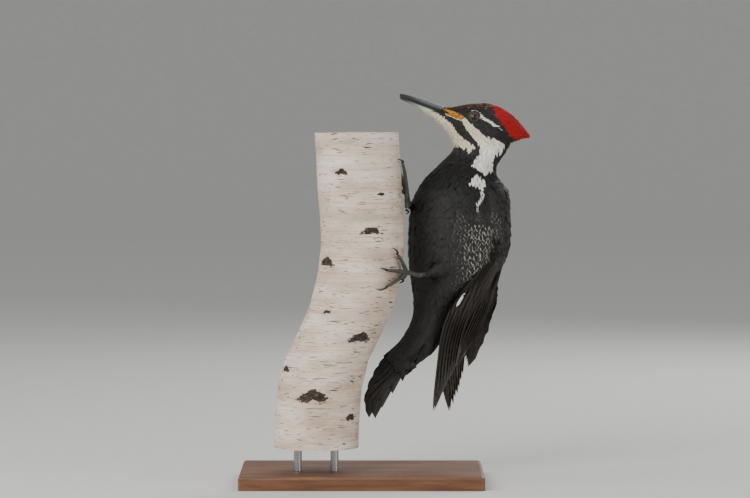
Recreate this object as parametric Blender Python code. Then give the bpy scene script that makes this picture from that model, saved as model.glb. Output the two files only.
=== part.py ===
"""A pileated woodpecker clinging to a cut length of birch, life size, on a plain display stand.

Everything is worked out in millimetres and scaled to metres as each mesh is made. +Z is up, the
bill points to -X, and the origin is the middle of the stand's underside. The body is one loft from
the bill's root to the tail's root, parted into head, neck and trunk by thin cuts. The body's middle
plane is turned about the vertical, so that the belly faces the perch and a little toward -Y.
"""

import math

import bmesh
import bpy
import numpy as np
from mathutils import Matrix, Vector

MM = 0.001
GAP = 0.35  # clearance between solids that meet

# The pose: how far the belly and the tail are turned toward -Y, and where the middle planes stand.
BODY_YAW = 27.0
TAIL_YAW = 42.0
BODY_PLANE = (97.0, 55.0)
TAIL_PLANE = (71.0, 41.7)
HEAD_Y = 62.0

# The body's sections, from the bill's root to the tail's root: the throat or belly side (x, z), the
# crown or back side (x, z), half the width, the yaw in degrees and how much fuller the throat side is.
BODY = (
    ("bill root", 66.0, 362.5, 79.0, 372.0, 7.2, 0, 0.00),
    ("forehead", 79.0, 351.5, 89.0, 371.0, 11.6, 0, 0.05),
    ("eye", 85.0, 344.0, 101.0, 373.5, 15.0, 0, 0.08),
    ("crown", 89.0, 337.5, 116.0, 375.0, 17.6, 0, 0.08),
    ("hind crown", 91.0, 333.5, 131.0, 370.0, 18.6, 0, 0.06),
    ("crest root", 91.6, 331.0, 143.5, 358.0, 18.8, 0, 0.03),
    ("nape", 91.0, 328.0, 149.0, 343.0, 18.8, 0, 0.00),
    ("upper neck", 88.0, 324.0, 147.5, 330.0, 19.4, 0, 0.00),
    ("neck", 82.0, 318.5, 139.5, 318.5, 21.5, 8, 0.00),
    ("lower neck", 73.0, 310.0, 134.5, 309.0, 25.5, 15, 0.00),
    ("shoulder", 62.5, 300.0, 136.5, 300.0, 31.5, 21, 0.00),
    ("breast", 52.5, 283.0, 141.0, 283.0, 38.0, 26, 0.00),
    ("middle", 47.6, 261.0, 143.5, 261.0, 42.0, 27, 0.00),
    ("belly", 46.0, 236.0, 144.5, 236.0, 42.5, 27, 0.00),
    ("flank", 46.8, 214.0, 138.0, 214.0, 39.5, 27, 0.00),
    ("rump", 49.0, 195.0, 124.0, 195.0, 33.0, 28, 0.00),
    ("vent", 51.0, 177.0, 104.0, 177.0, 25.0, 31, 0.00),
    ("coverts", 49.0, 159.0, 91.0, 155.0, 20.5, 36, 0.00),
    ("tail root", 40.0, 143.0, 72.0, 127.0, 20.0, 42, 0.00),
    ("tail", 30.0, 128.5, 48.0, 116.5, 21.0, 42, 0.00),
)
HEAD_END = 7.55
NECK_END = 10.0
BODY_END = len(BODY) - 1.0
CUT = 0.03  # in stations, about the same as GAP
BODY_SIDES = 26
SECTION_POWER = 2.15  # a little squarer than an ellipse
THINNEST = 0.45  # least share of the section's depth left by its yaw

# The head's own frame: the eye's centre, and the tilt of the bill above level.
EYE = (112.1, 360.6)
BILL_TILT = 21.0
EYE_RADIUS = 5.0
EYE_OFFSET = 13.5

# The bill, forward of and above the eye in the head's frame: ridge, cutting edge, half width.
UPPER_BILL = (
    (35.5, -1.2, 38.9, -6.5, 7.0),
    (43.0, -1.2, 45.0, -6.5, 6.3),
    (56.0, -1.9, 56.0, -6.4, 4.9),
    (68.0, -3.0, 68.0, -6.6, 3.3),
    (77.0, -4.7, 76.6, -6.8, 1.6),
)
LOWER_BILL = (
    (44.3, -14.6, 39.3, -6.9, 6.8),
    (48.5, -13.2, 46.0, -6.9, 5.9),
    (56.5, -10.6, 56.0, -6.9, 4.5),
    (67.0, -9.8, 67.0, -7.0, 3.0),
    (75.4, -9.1, 75.8, -7.3, 1.5),
)

# The crest: top (x, z), underside (x, z), half width.
CREST = (
    (120.0, 375.4, 119.0, 366.0, 8.0),
    (130.0, 374.0, 124.0, 358.0, 12.5),
    (144.0, 367.3, 132.0, 346.0, 14.0),
    (152.5, 360.3, 142.0, 339.0, 12.4),
    (160.0, 352.6, 151.5, 335.5, 9.0),
    (165.0, 346.6, 159.0, 339.2, 5.0),
    (168.2, 341.6, 166.6, 339.6, 1.0),
)

# The folded wings. On the trunk: height, then the angles of the lower and the upper edge, from the
# belly's middle line round by the wing's own side. Off it: height, then x and distance to the side.
LEFT_WING_ON_BODY = (
    (298.5, 119, 158),
    (292.5, 110, 166),
    (283.0, 107, 173),
    (261.0, 110, 176),
    (236.0, 112, 176),
    (214.0, 112, 174),
    (196.0, 106, 170),
)
RIGHT_WING_ON_BODY = (
    (298.5, 119, 156),
    (292.5, 110, 164),
    (283.0, 107, 171),
    (261.0, 110, 177),
    (236.0, 112, 178),
    (214.0, 111, 180),
    (196.0, 108, 182),
)
LEFT_WING_FREE = (
    (214.0, 127.0, 39.5, 144.0, 8.0),
    (198.0, 112.0, 38.5, 138.5, 7.0),
    (185.0, 100.0, 36.5, 134.0, 7.5),
    (163.0, 86.0, 33.0, 126.0, 10.0),
    (142.0, 80.0, 30.0, 115.0, 13.0),
    (128.0, 78.0, 28.0, 104.5, 15.5),
    (110.0, 76.0, 26.0, 93.0, 18.0),
    (92.0, 73.5, 24.0, 83.0, 20.5),
    (78.0, 71.2, 22.0, 76.2, 20.0),
    (69.0, 69.6, 21.0, 71.4, 20.0),
)
RIGHT_WING_FREE = (
    (214.0, 88.0, 39.5, 143.0, -2.0),
    (198.0, 86.0, 38.0, 140.0, -2.0),
    (181.0, 84.0, 35.0, 137.0, -1.5),
    (161.0, 82.0, 31.0, 131.5, 0.0),
    (137.0, 81.0, 26.5, 124.5, 4.0),
    (117.5, 80.5, 23.0, 114.5, 9.0),
    (101.0, 82.0, 21.0, 103.0, 13.0),
    (86.5, 84.0, 20.0, 99.0, 14.0),
    (74.0, 86.0, 18.0, 95.0, 14.5),
    (64.5, 87.6, 16.0, 89.4, 15.2),
)
WING_LEAVES_BODY = (212.0, 182.0)
WING_THICKNESS = ((298.5, 1.6), (292.0, 5.0), (262.0, 4.6), (214.0, 3.6), (163.0, 2.4), (64.5, 1.0))
WING_EDGE = 0.7
WING_BULGE = 0.16
WING_COLUMNS = 9
WING_ROWS = 22

# The tail: its middle line (x, z) from the root, and each side's feathers from the middle out:
# angle from the middle line in degrees, and length from the root.
TAIL_LINE = ((71, 173), (66, 153), (55, 137), (38, 118), (20, 98), (7.5, 79), (2.5, 61))
TAIL_FEATHERS = ((2.2, 146.0), (6.0, 135.0), (9.6, 118.0), (13.4, 103.0), (17.2, 91.0))
TAIL_STARTS = 73.0  # just past the trunk's end, along the middle line
TAIL_SLANT = 0.35  # the trunk ends aslant, so the left feathers start lower
TAIL_NOTCH = 10.0
TAIL_SHORTEST = 4.0  # least length of a feather outside the trunk
TAIL_WRAP = 150.0  # radius to which the spread tail curves round the perch
TAIL_THICKNESS = (6.0, 1.5)

# The perch: its axis (height, x, y), radius, and where it is cut.
LOG_AXIS = (
    (24, -45, -34),
    (60, -44, -28.8),
    (118, -36.5, -20),
    (170, -12, -9),
    (220, 0, -3),
    (290, -2, -1),
    (360, -6, -2),
)
LOG_RADIUS = 42.0
LOG_BOTTOM = 38.0
LOG_TOP = 346.0
LOG_SIDES = 28
LOG_RINGS = 12

# The legs, on the perch's surface: angle round it and height. Each toe is (angle, height) at its
# last joint and at its claw's tip, then its radius at the root.
LEFT_PALM = (-14, 209)
LEFT_TOES = (
    ((-38, 226), (-50, 235), 2.5),
    ((-52, 212), (-67, 215), 2.6),
    ((-47, 197), (-62, 192), 2.6),
    ((12, 202), (23, 196), 2.0),
)
RIGHT_PALM = (12, 286)
RIGHT_TOES = (
    ((-12, 315), (-30, 321), 2.6),
    ((28, 309), (42, 317), 2.5),
    ((47, 291), (62, 288), 2.6),
    ((2, 272), (-9, 265), 2.0),
)
LEFT_HEEL = (58.5, -1.5, 204.5)
RIGHT_HEEL = (48.0, 39.0, 271.0)
LEFT_HIP = (86.0, 25.0, 216.0)
RIGHT_HIP = (66.0, 66.0, 274.0)
THIGH_RADII = (13.0, 12.5, 6.5)
SHANK_RADII = (2.9, 2.4, 2.9)
PALM_LIFT = 5.0
TOE_TIP = 1.7
TOE_ROOM = 0.9  # from the bark to the underside of a toe
TOE_STEEPNESS = 2.2  # how fast a toe comes down to the bark
KNUCKLE_RISE = 0.8
CLAW_ARCH = 3.4
CLAW_ROOM = 1.4

# The stand.
BASE_SIZE = (240.0, 170.0, 14.0)
BASE_BEVEL = 3.0
ROD_RADIUS = 4.0
ROD_SPACING = 36.0


class Track:
    """A smooth curve through rows whose first number is the parameter."""

    def __init__(self, rows):
        rows = np.array(sorted(rows, key=lambda row: row[0]), float)
        self.at = rows[:, 0]
        self.values = rows[:, 1:]
        self.slopes = np.gradient(self.values, self.at, axis=0)

    def __call__(self, where):
        where = min(max(where, self.at[0]), self.at[-1])
        i = min(int(np.searchsorted(self.at, where, side="right")) - 1, len(self.at) - 2)
        span = self.at[i + 1] - self.at[i]
        f = (where - self.at[i]) / span
        near = (1 + 2 * f) * (1 - f) ** 2 * self.values[i] + f * (1 - f) ** 2 * span * self.slopes[i]
        far = f * f * (3 - 2 * f) * self.values[i + 1] - f * f * (1 - f) * span * self.slopes[i + 1]
        return near + far


def clear_scene():
    for old in list(bpy.data.objects):
        bpy.data.objects.remove(old, do_unlink=True)


def finish_material(name, colour, roughness, metallic=0.0):
    material = bpy.data.materials.new(name)
    material.use_nodes = True
    shader = material.node_tree.nodes["Principled BSDF"]
    shader.inputs["Base Color"].default_value = (*colour, 1.0)
    shader.inputs["Roughness"].default_value = roughness
    shader.inputs["Metallic"].default_value = metallic
    return material


def add_object(name, bm, material, cutter=False):
    """The bmesh as a named object, outward, in metres."""
    bmesh.ops.recalc_face_normals(bm, faces=bm.faces)
    bmesh.ops.scale(bm, vec=(MM, MM, MM), verts=bm.verts)
    mesh = bpy.data.meshes.new(name)
    bm.to_mesh(mesh)
    bm.free()
    mesh.shade_smooth()
    mesh.set_sharp_from_angle(angle=math.radians(40))
    mesh.materials.append(material)
    obj = bpy.data.objects.new(name, mesh)
    bpy.context.scene.collection.objects.link(obj)
    if cutter:
        obj.hide_render = True
        obj.display_type = "WIRE"
    return obj


def boolean(obj, other, operation):
    cut = obj.modifiers.new(operation.title() + " " + other.name, "BOOLEAN")
    cut.operation = operation
    cut.solver = "EXACT"
    cut.object = other


def loft(bm, rings, end_point=None, flat_ends=True):
    """Rings of equally many points, joined in order. The far end may close on a point.

    Ends that are not flat are closed by strips, from each point of a ring to the one across it.
    """
    loops = [[bm.verts.new(point) for point in ring] for ring in rings]
    count = len(loops[0])
    for lower, upper in zip(loops, loops[1:]):
        for i in range(count):
            j = (i + 1) % count
            bm.faces.new((lower[i], lower[j], upper[j], upper[i]))
    for loop, point in ((loops[0][::-1], None), (loops[-1], end_point)):
        if point is not None:
            apex = bm.verts.new(point)
            for i in range(count):
                bm.faces.new((loop[i], loop[(i + 1) % count], apex))
        elif flat_ends:
            bm.faces.new(loop)
        else:
            for i in range(count // 2 - 1):
                bm.faces.new((loop[i], loop[i + 1], loop[count - 2 - i], loop[count - 1 - i]))


def middle_y(x):
    """Y of the bird's middle plane, which turns further past the tail's root."""
    if x > TAIL_PLANE[0]:
        return BODY_PLANE[1] + math.tan(math.radians(BODY_YAW)) * (x - BODY_PLANE[0])
    return TAIL_PLANE[1] + math.tan(math.radians(TAIL_YAW)) * (x - TAIL_PLANE[0])


def body_row(number, station):
    _, front_x, front_z, back_x, back_z, half_width, yaw, fullness = station
    y = middle_y((front_x + back_x) / 2) if yaw else HEAD_Y
    return (number, front_x, front_z, back_x, back_z, half_width, yaw, fullness, y)


BODY_TRACK = Track([body_row(n, station) for n, station in enumerate(BODY)])


def body_point(where, angle, grow=0.0):
    """A point of the body's surface: station, and degrees from the belly round by the left side."""
    front_x, front_z, back_x, back_z, half_width, yaw, fullness, y = BODY_TRACK(where)
    front = Vector((front_x, 0, front_z))
    back = Vector((back_x, 0, back_z))
    half_depth = (front - back).length / 2 + grow
    forward = (front - back).normalized()
    turn = math.radians(yaw)
    side = half_width + grow
    thinnest = THINNEST * half_depth
    seen = math.sqrt(max(half_depth**2 - (side * math.sin(turn)) ** 2, thinnest**2))
    depth = seen / math.cos(turn)
    cosine = math.cos(math.radians(angle))
    sine = math.sin(math.radians(angle))
    power = 2 / SECTION_POWER
    u = depth * math.copysign(abs(cosine) ** power, cosine)
    s = side * math.copysign(abs(sine) ** power, sine) * (1 + fullness * cosine)
    centre = (front + back) / 2 + Vector((0, y, 0))
    along = u * math.cos(turn) - s * math.sin(turn)
    across = -u * math.sin(turn) - s * math.cos(turn)
    return centre + forward * along + Vector((0, across, 0))


def body_ring(where, grow=0.0):
    return [body_point(where, 360 * i / BODY_SIDES, grow) for i in range(BODY_SIDES)]


def body_length(name, first, last, rings, material, grow=0.0, cutter=False):
    bm = bmesh.new()
    loft(bm, [body_ring(where, grow) for where in np.linspace(first, last, rings)])
    return add_object(name, bm, material, cutter)


def station_at_height(z):
    """The trunk's station whose section lies at a height."""
    stations = np.linspace(NECK_END, BODY_END, 200)
    heights = [(BODY_TRACK(t)[1] + BODY_TRACK(t)[3]) / 2 for t in stations]
    return float(np.interp(-z, [-h for h in heights], stations))


def head_point(forward, up, side=0.0):
    """A point in the head's frame: forward of the eye along the bill, above it, and to the left."""
    tilt = math.radians(BILL_TILT)
    x = EYE[0] - forward * math.cos(tilt) + up * math.sin(tilt)
    z = EYE[1] + forward * math.sin(tilt) + up * math.cos(tilt)
    return Vector((x, HEAD_Y - side, z))


def mandible(name, rows, sharpness, material):
    """Half of the bill: arched sections on a straight cutting edge."""
    track = Track([(n, *row) for n, row in enumerate(rows)])
    rings = []
    for where in np.linspace(0, len(rows) - 1, 12):
        ridge_f, ridge_w, edge_f, edge_w, half_width = track(where)
        ring = []
        for step in range(11):
            angle = math.pi * step / 10
            rise = math.sin(angle) ** sharpness
            point_f = edge_f + (ridge_f - edge_f) * rise
            point_w = edge_w + (ridge_w - edge_w) * rise
            ring.append(head_point(point_f, point_w, half_width * math.cos(angle)))
        rings.append(ring)
    bm = bmesh.new()
    loft(bm, rings)
    return add_object(name, bm, material)


def crest(material):
    track = Track([(n, *row) for n, row in enumerate(CREST)])
    rings = []
    for where in np.linspace(0, len(CREST) - 1, 13):
        top_x, top_z, low_x, low_z, half_width = track(where)
        top = Vector((top_x, HEAD_Y, top_z))
        low = Vector((low_x, HEAD_Y, low_z))
        ring = []
        for i in range(16):
            angle = 2 * math.pi * i / 16
            point = (top + low) / 2 + (top - low) / 2 * math.cos(angle)
            ring.append(point + Vector((0, half_width * math.sin(angle), 0)))
        rings.append(ring)
    bm = bmesh.new()
    loft(bm, rings)
    return add_object("crest", bm, material)


def eyeball(side, radius, name, material, cutter=False):
    bm = bmesh.new()
    bmesh.ops.create_uvsphere(bm, u_segments=16, v_segments=10, radius=radius)
    bmesh.ops.rotate(bm, verts=bm.verts, matrix=Matrix.Rotation(math.radians(90), 3, "X"))
    bmesh.ops.translate(bm, verts=bm.verts, vec=(EYE[0], HEAD_Y - side * EYE_OFFSET, EYE[1]))
    return add_object(name, bm, material, cutter)


def side_point(x, aside):
    """X and Y at a distance to the left of the body's middle plane."""
    return Vector((x, middle_y(x) - aside / math.cos(math.radians(BODY_YAW)), 0))


def wing_curve(side, z, on_body, free):
    """The wing's inner line at one height, from its lower edge to its upper edge."""
    low_angle, high_angle = on_body(z)
    low_x, low_s, high_x, high_s = free(z)
    where = station_at_height(z)
    leaves, clear = WING_LEAVES_BODY
    blend = min(max((leaves - z) / (leaves - clear), 0.0), 1.0)
    blend = blend * blend * (3 - 2 * blend)
    low = side_point(low_x, side * low_s)
    high = side_point(high_x, side * high_s)
    outward = Vector((math.sin(math.radians(BODY_YAW)), -math.cos(math.radians(BODY_YAW)), 0)) * side
    points = []
    for column in range(WING_COLUMNS):
        f = column / (WING_COLUMNS - 1)
        ridden = body_point(where, side * (low_angle + (high_angle - low_angle) * f), GAP + 0.15)
        ridden.z = z
        hung = low.lerp(high, f) + outward * 4 * f * (1 - f) * WING_BULGE * (high - low).length
        hung.z = z
        points.append(ridden.lerp(hung, blend))
    return points


def wing(name, side, on_body_rows, free_rows, material):
    """A folded wing: a thin curved blade that rides on the trunk and hangs free below it."""
    on_body = Track(on_body_rows)
    free = Track(free_rows)
    thickness = Track(WING_THICKNESS)
    top = on_body_rows[0][0]
    bottom = free_rows[-1][0]
    inner = []
    for row in range(WING_ROWS):
        z = top + (bottom - top) * row / (WING_ROWS - 1)
        inner.append(wing_curve(side, z, on_body, free))
    outer = []
    for row, points in enumerate(inner):
        above = inner[max(row - 1, 0)]
        below = inner[min(row + 1, WING_ROWS - 1)]
        full = float(thickness(points[0].z)[0])
        line = []
        for column, point in enumerate(points):
            across = points[min(column + 1, WING_COLUMNS - 1)] - points[max(column - 1, 0)]
            normal = across.cross(above[column] - below[column]).normalized() * side
            f = column / (WING_COLUMNS - 1)
            line.append(point + normal * (WING_EDGE + (full - WING_EDGE) * math.sqrt(4 * f * (1 - f))))
        outer.append(line)
    bm = bmesh.new()
    loft(bm, [low + high[::-1] for low, high in zip(inner, outer)])
    return add_object(name, bm, material)


def tail(material):
    """Both sides' feathers in one fan, notched between their tips and bent down to the perch."""
    line = np.array(TAIL_LINE, float)
    line = [Vector((x, middle_y(min(x, TAIL_PLANE[0])), z)) for x, z in line]
    lengths = [0.0]
    for a, b in zip(line, line[1:]):
        lengths.append(lengths[-1] + (b - a).length)
    track = Track([(length, *point) for length, point in zip(lengths, line)])
    turn = math.radians(TAIL_YAW)
    aside = Vector((math.sin(turn), -math.cos(turn), 0))
    columns = []
    for angle, length in TAIL_FEATHERS:
        columns.append((angle - TAIL_FEATHERS[0][0], length - TAIL_NOTCH))
        columns.append((angle, length))
    last_angle, last_length = TAIL_FEATHERS[-1]
    columns.append((last_angle + TAIL_FEATHERS[0][0], last_length - TAIL_NOTCH))
    fan = [(-angle, length) for angle, length in columns[:0:-1]] + columns
    rows = 9
    root, tip = TAIL_THICKNESS
    dorsal = []
    ventral = []
    for angle, length in fan:
        upper = []
        under = []
        slope = math.tan(math.radians(angle))
        start = TAIL_STARTS / (1 - TAIL_SLANT * slope) / math.cos(math.radians(angle))
        start = min(start, length - TAIL_SHORTEST)
        for row in range(rows):
            reach = start + (length - start) * row / (rows - 1)
            along = reach * math.cos(math.radians(angle))
            side = reach * math.sin(math.radians(angle))
            middle = Vector(track(min(along, lengths[-1])))
            ahead = Vector(track(min(along + 2, lengths[-1]))) - Vector(track(min(along, lengths[-1]) - 2))
            toward_perch = aside.cross(ahead).normalized()
            if toward_perch.x > 0:
                toward_perch.negate()
            point = middle + aside * side + toward_perch * side**2 / (2 * TAIL_WRAP)
            half = (root + (tip - root) * min(row / 5, 1.0)) / 2
            upper.append(point - toward_perch * half)
            under.append(point + toward_perch * half)
        dorsal.append(upper)
        ventral.append(under)
    bm = bmesh.new()
    rings = []
    for row in range(rows):
        rings.append([column[row] for column in dorsal] + [column[row] for column in ventral[::-1]])
    loft(bm, rings, flat_ends=False)
    add_object("tail", bm, material)


def tube(bm, points, radii, sides=8):
    """A round limb through points, with a domed far end."""
    points = [Vector(point) for point in points]
    rings = []
    normal = None
    for i, (point, radius) in enumerate(zip(points, radii)):
        ahead = (points[min(i + 1, len(points) - 1)] - points[max(i - 1, 0)]).normalized()
        if normal is None:
            normal = ahead.orthogonal().normalized()
        normal = (normal - ahead * normal.dot(ahead)).normalized()
        other = ahead.cross(normal)
        turns = [2 * math.pi * k / sides for k in range(sides)]
        rings.append([point + (normal * math.cos(t) + other * math.sin(t)) * radius for t in turns])
    tip = points[-1] + (points[-1] - points[-2]).normalized() * radii[-1] * 0.5
    loft(bm, rings, end_point=tip)


LOG_TRACK = Track(LOG_AXIS)


def on_log(angle, z, lift):
    """A point over the perch's surface: degrees from +X toward +Y, height, and distance out."""
    x, y = LOG_TRACK(z)
    reach = LOG_RADIUS + lift
    return Vector((x + reach * math.cos(math.radians(angle)), y + reach * math.sin(math.radians(angle)), z))


def perch(material):
    bm = bmesh.new()
    rings = []
    for z in np.linspace(LOG_BOTTOM, LOG_TOP, LOG_RINGS):
        turns = [360 * i / LOG_SIDES for i in range(LOG_SIDES)]
        rings.append([on_log(turn, z, 0.0) for turn in turns])
    loft(bm, rings)
    return add_object("perch_log", bm, material)


def toe_points(palm, last, steps=6):
    """From the palm down on to the bark and along it to the toe's last joint."""
    points = []
    for step in range(steps + 1):
        f = step / steps
        angle = palm[0] + (last[0] - palm[0]) * f
        z = palm[1] + (last[1] - palm[1]) * f
        lift = PALM_LIFT + (TOE_TIP + TOE_ROOM - PALM_LIFT) * min(f * TOE_STEEPNESS, 1.0)
        knuckles = KNUCKLE_RISE * math.sin(math.pi * f)
        points.append(on_log(angle, z, lift + knuckles))
    return points


def foot(name, palm, toes, heel, material):
    """The bare shank and the toes, joined."""
    centre = on_log(*palm, PALM_LIFT)
    shank = [Vector(heel).lerp(centre, f) for f in (0.0, 0.25, 0.5, 0.75, 1.0)]
    bm = bmesh.new()
    tube(bm, shank, [SHANK_RADII[0], SHANK_RADII[1], SHANK_RADII[1], SHANK_RADII[1], SHANK_RADII[2]])
    body = add_object(name, bm, material)
    for number, (last, _, radius) in enumerate(toes, 1):
        bm = bmesh.new()
        points = toe_points(palm, last)
        radii = np.linspace(radius, TOE_TIP, len(points))
        tube(bm, points, radii)
        limb = add_object(f"{name}_limb_{number}", bm, material, cutter=True)
        boolean(body, limb, "UNION")
    return body


def claw(name, palm, last, tip, material):
    """A hooked claw, from the toe's end over in an arch to the bark."""
    start = toe_points(palm, last)
    begin = start[-1] + (start[-1] - start[-2]).normalized() * (TOE_TIP * 0.5 + CLAW_ROOM)
    end = on_log(*tip, 0.45)
    points = []
    steps = 8
    for step in range(steps):
        f = step / steps
        z = begin.z + (tip[1] - begin.z) * f
        x, y = LOG_TRACK(z)
        straight = begin.lerp(end, f)
        outward = Vector((straight.x - x, straight.y - y, 0)).normalized()
        points.append(straight + outward * CLAW_ARCH * 4 * f * (1 - f))
    bm = bmesh.new()
    radii = [TOE_TIP * 0.85 * (1 - step / steps) ** 0.7 + 0.12 for step in range(steps)]
    tube(bm, points, radii, sides=7)
    return add_object(name, bm, material)


def thigh(name, hip, heel, trimming, material):
    """The feathered upper leg, cut where it meets the trunk."""
    hip = Vector(hip)
    heel = Vector(heel)
    wide, middle, narrow = THIGH_RADII
    end = hip.lerp(heel, 0.88)
    bm = bmesh.new()
    points = [hip.lerp(end, f) for f in (0.0, 0.3, 0.6, 0.85, 0.96)]
    tube(bm, points, [wide, middle, (middle + narrow) / 2, narrow, narrow * 0.72], sides=14)
    obj = add_object(name, bm, material)
    boolean(obj, trimming, "DIFFERENCE")
    return obj


def box(name, size, centre, bevel, material):
    bm = bmesh.new()
    bmesh.ops.create_cube(bm, size=1.0)
    bmesh.ops.scale(bm, vec=size, verts=bm.verts)
    top = [edge for edge in bm.edges if all(vert.co.z > 0 for vert in edge.verts)]
    upright = [edge for edge in bm.edges if abs(edge.verts[0].co.z - edge.verts[1].co.z) > 1]
    bmesh.ops.bevel(bm, geom=upright + top, offset=bevel, segments=2, profile=0.5, affect="EDGES")
    bmesh.ops.translate(bm, verts=bm.verts, vec=centre)
    return add_object(name, bm, material)


def rod(name, x, y, low, high, material):
    bm = bmesh.new()
    bmesh.ops.create_cone(
        bm, cap_ends=True, segments=20, radius1=ROD_RADIUS, radius2=ROD_RADIUS, depth=high - low
    )
    bmesh.ops.translate(bm, verts=bm.verts, vec=(x, y, (low + high) / 2))
    return add_object(name, bm, material)


def main():
    clear_scene()
    black = finish_material("black plumage", (0.012, 0.011, 0.010), 0.6)
    brown_black = finish_material("wing feathers", (0.02, 0.016, 0.013), 0.55)
    red = finish_material("red crest", (0.5, 0.005, 0.008), 0.65)
    slate = finish_material("bill horn", (0.05, 0.053, 0.053), 0.4)
    pale_horn = finish_material("pale bill horn", (0.3, 0.32, 0.25), 0.4)
    eye = finish_material("eye", (0.02, 0.01, 0.008), 0.05)
    scaly = finish_material("leg scales", (0.1, 0.1, 0.095), 0.55)
    claw_horn = finish_material("claw horn", (0.03, 0.028, 0.026), 0.35)
    bark = finish_material("birch bark", (0.6, 0.55, 0.48), 0.8)
    wood = finish_material("stand wood", (0.2, 0.11, 0.06), 0.45)
    steel = finish_material("stand steel", (0.45, 0.45, 0.45), 0.3, 1.0)

    head = body_length("head", 0.0, HEAD_END, 15, black)
    body_length("neck", HEAD_END + CUT, NECK_END, 6, black)
    body_length("trunk", NECK_END + CUT, BODY_END - CUT, 21, black)
    for side, word in ((1, "left"), (-1, "right")):
        eyeball(side, EYE_RADIUS, "eye_" + word, eye)
        socket = eyeball(side, EYE_RADIUS + GAP, "socket_" + word, eye, cutter=True)
        boolean(head, socket, "DIFFERENCE")
    comb = crest(red)
    head_room = body_length("head_room", 0.0, NECK_END, 22, black, grow=GAP, cutter=True)
    boolean(comb, head_room, "DIFFERENCE")
    mandible("bill_upper", UPPER_BILL, 0.8, slate)
    mandible("bill_lower", LOWER_BILL, 0.8, pale_horn)

    wing("wing_left", 1, LEFT_WING_ON_BODY, LEFT_WING_FREE, brown_black)
    wing("wing_right", -1, RIGHT_WING_ON_BODY, RIGHT_WING_FREE, brown_black)
    trunk_room = body_length("trunk_room", NECK_END, BODY_END, 24, black, grow=GAP, cutter=True)
    tail(brown_black)
    legs = (
        ("left", LEFT_PALM, LEFT_TOES, LEFT_HEEL, LEFT_HIP),
        ("right", RIGHT_PALM, RIGHT_TOES, RIGHT_HEEL, RIGHT_HIP),
    )
    for word, palm, toes, heel, hip in legs:
        thigh("thigh_" + word, hip, heel, trunk_room, black)
        foot("foot_" + word, palm, toes, heel, scaly)
        for number, (last, tip, _) in enumerate(toes, 1):
            claw(f"claw_{word}_{number}", palm, last, tip, claw_horn)

    perch(bark)
    box("stand_base", BASE_SIZE, (0, 0, BASE_SIZE[2] / 2), BASE_BEVEL, wood)
    rod_x, rod_y = LOG_TRACK(LOG_BOTTOM)
    for number, offset in ((1, -ROD_SPACING / 2), (2, ROD_SPACING / 2)):
        rod(f"stand_rod_{number}", rod_x + offset, rod_y, BASE_SIZE[2] + GAP, LOG_BOTTOM - GAP, steel)


main()
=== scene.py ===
import math
from itertools import product

import bmesh
import bpy
import numpy as np
from mathutils import Matrix, Vector, noise
from mathutils.bvhtree import BVHTree
from mathutils.kdtree import KDTree


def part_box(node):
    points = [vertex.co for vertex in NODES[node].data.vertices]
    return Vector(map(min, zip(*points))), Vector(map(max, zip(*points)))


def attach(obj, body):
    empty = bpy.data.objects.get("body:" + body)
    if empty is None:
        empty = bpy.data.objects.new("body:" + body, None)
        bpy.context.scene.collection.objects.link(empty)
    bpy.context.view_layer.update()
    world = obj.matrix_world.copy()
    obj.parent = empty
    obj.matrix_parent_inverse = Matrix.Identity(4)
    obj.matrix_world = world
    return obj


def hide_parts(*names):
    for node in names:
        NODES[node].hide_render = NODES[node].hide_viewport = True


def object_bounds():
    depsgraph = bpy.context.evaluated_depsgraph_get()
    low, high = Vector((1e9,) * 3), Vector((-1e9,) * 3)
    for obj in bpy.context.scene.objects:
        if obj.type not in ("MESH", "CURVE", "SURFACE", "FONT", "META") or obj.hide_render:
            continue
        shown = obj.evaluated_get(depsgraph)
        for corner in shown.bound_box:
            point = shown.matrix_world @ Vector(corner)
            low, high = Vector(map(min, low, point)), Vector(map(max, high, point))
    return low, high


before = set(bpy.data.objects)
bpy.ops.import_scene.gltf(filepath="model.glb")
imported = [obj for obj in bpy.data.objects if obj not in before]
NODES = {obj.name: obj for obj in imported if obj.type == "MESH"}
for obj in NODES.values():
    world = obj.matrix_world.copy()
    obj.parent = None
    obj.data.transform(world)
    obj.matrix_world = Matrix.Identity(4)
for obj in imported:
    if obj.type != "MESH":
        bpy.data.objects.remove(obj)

CAD_LOW, CAD_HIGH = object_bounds()
MM = 0.001
RANDOM = np.random.default_rng(11)


# ---------------------------------------------------------------- numbers and colours

def between(values, pairs):
    """Results read off a line through pairs of a value and its result, held at its ends."""
    return np.interp(values, *zip(*pairs))


def rising(values, start, end):
    """0 up to a start and 1 from an end on, in step between. The end may be the lower of the two."""
    return np.clip((values - start) / (end - start), 0, 1)


def blend(first, second, share):
    """A share of the way from one colour to another."""
    return first + (second - first) * share


def colour(*levels):
    """An everyday colour, its red, green and blue from 0 to 255, as the shader's linear one."""
    levels = np.array(levels) / 255
    return np.where(levels > 0.04, ((levels + 0.055) / 1.055) ** 2.4, levels / 12.92)


BLACK = colour(30, 29, 28)
BROWN_BLACK = colour(43, 37, 32)
CROWN = colour(44, 36, 28)
GOLDEN_BROWN = colour(132, 92, 48)
RED = colour(160, 0, 6)
WHITE = colour(232, 230, 220)
CREAM = colour(214, 205, 176)
GOLD = colour(212, 148, 42)
PALE_TIP = colour(172, 168, 158)
SHAFT = colour(112, 104, 96)
CLAW = colour(48, 46, 42)


# ---------------------------------------------------------------- the head's own frame

def centre(node):
    low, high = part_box(node)
    return (low + high) / 2


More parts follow.
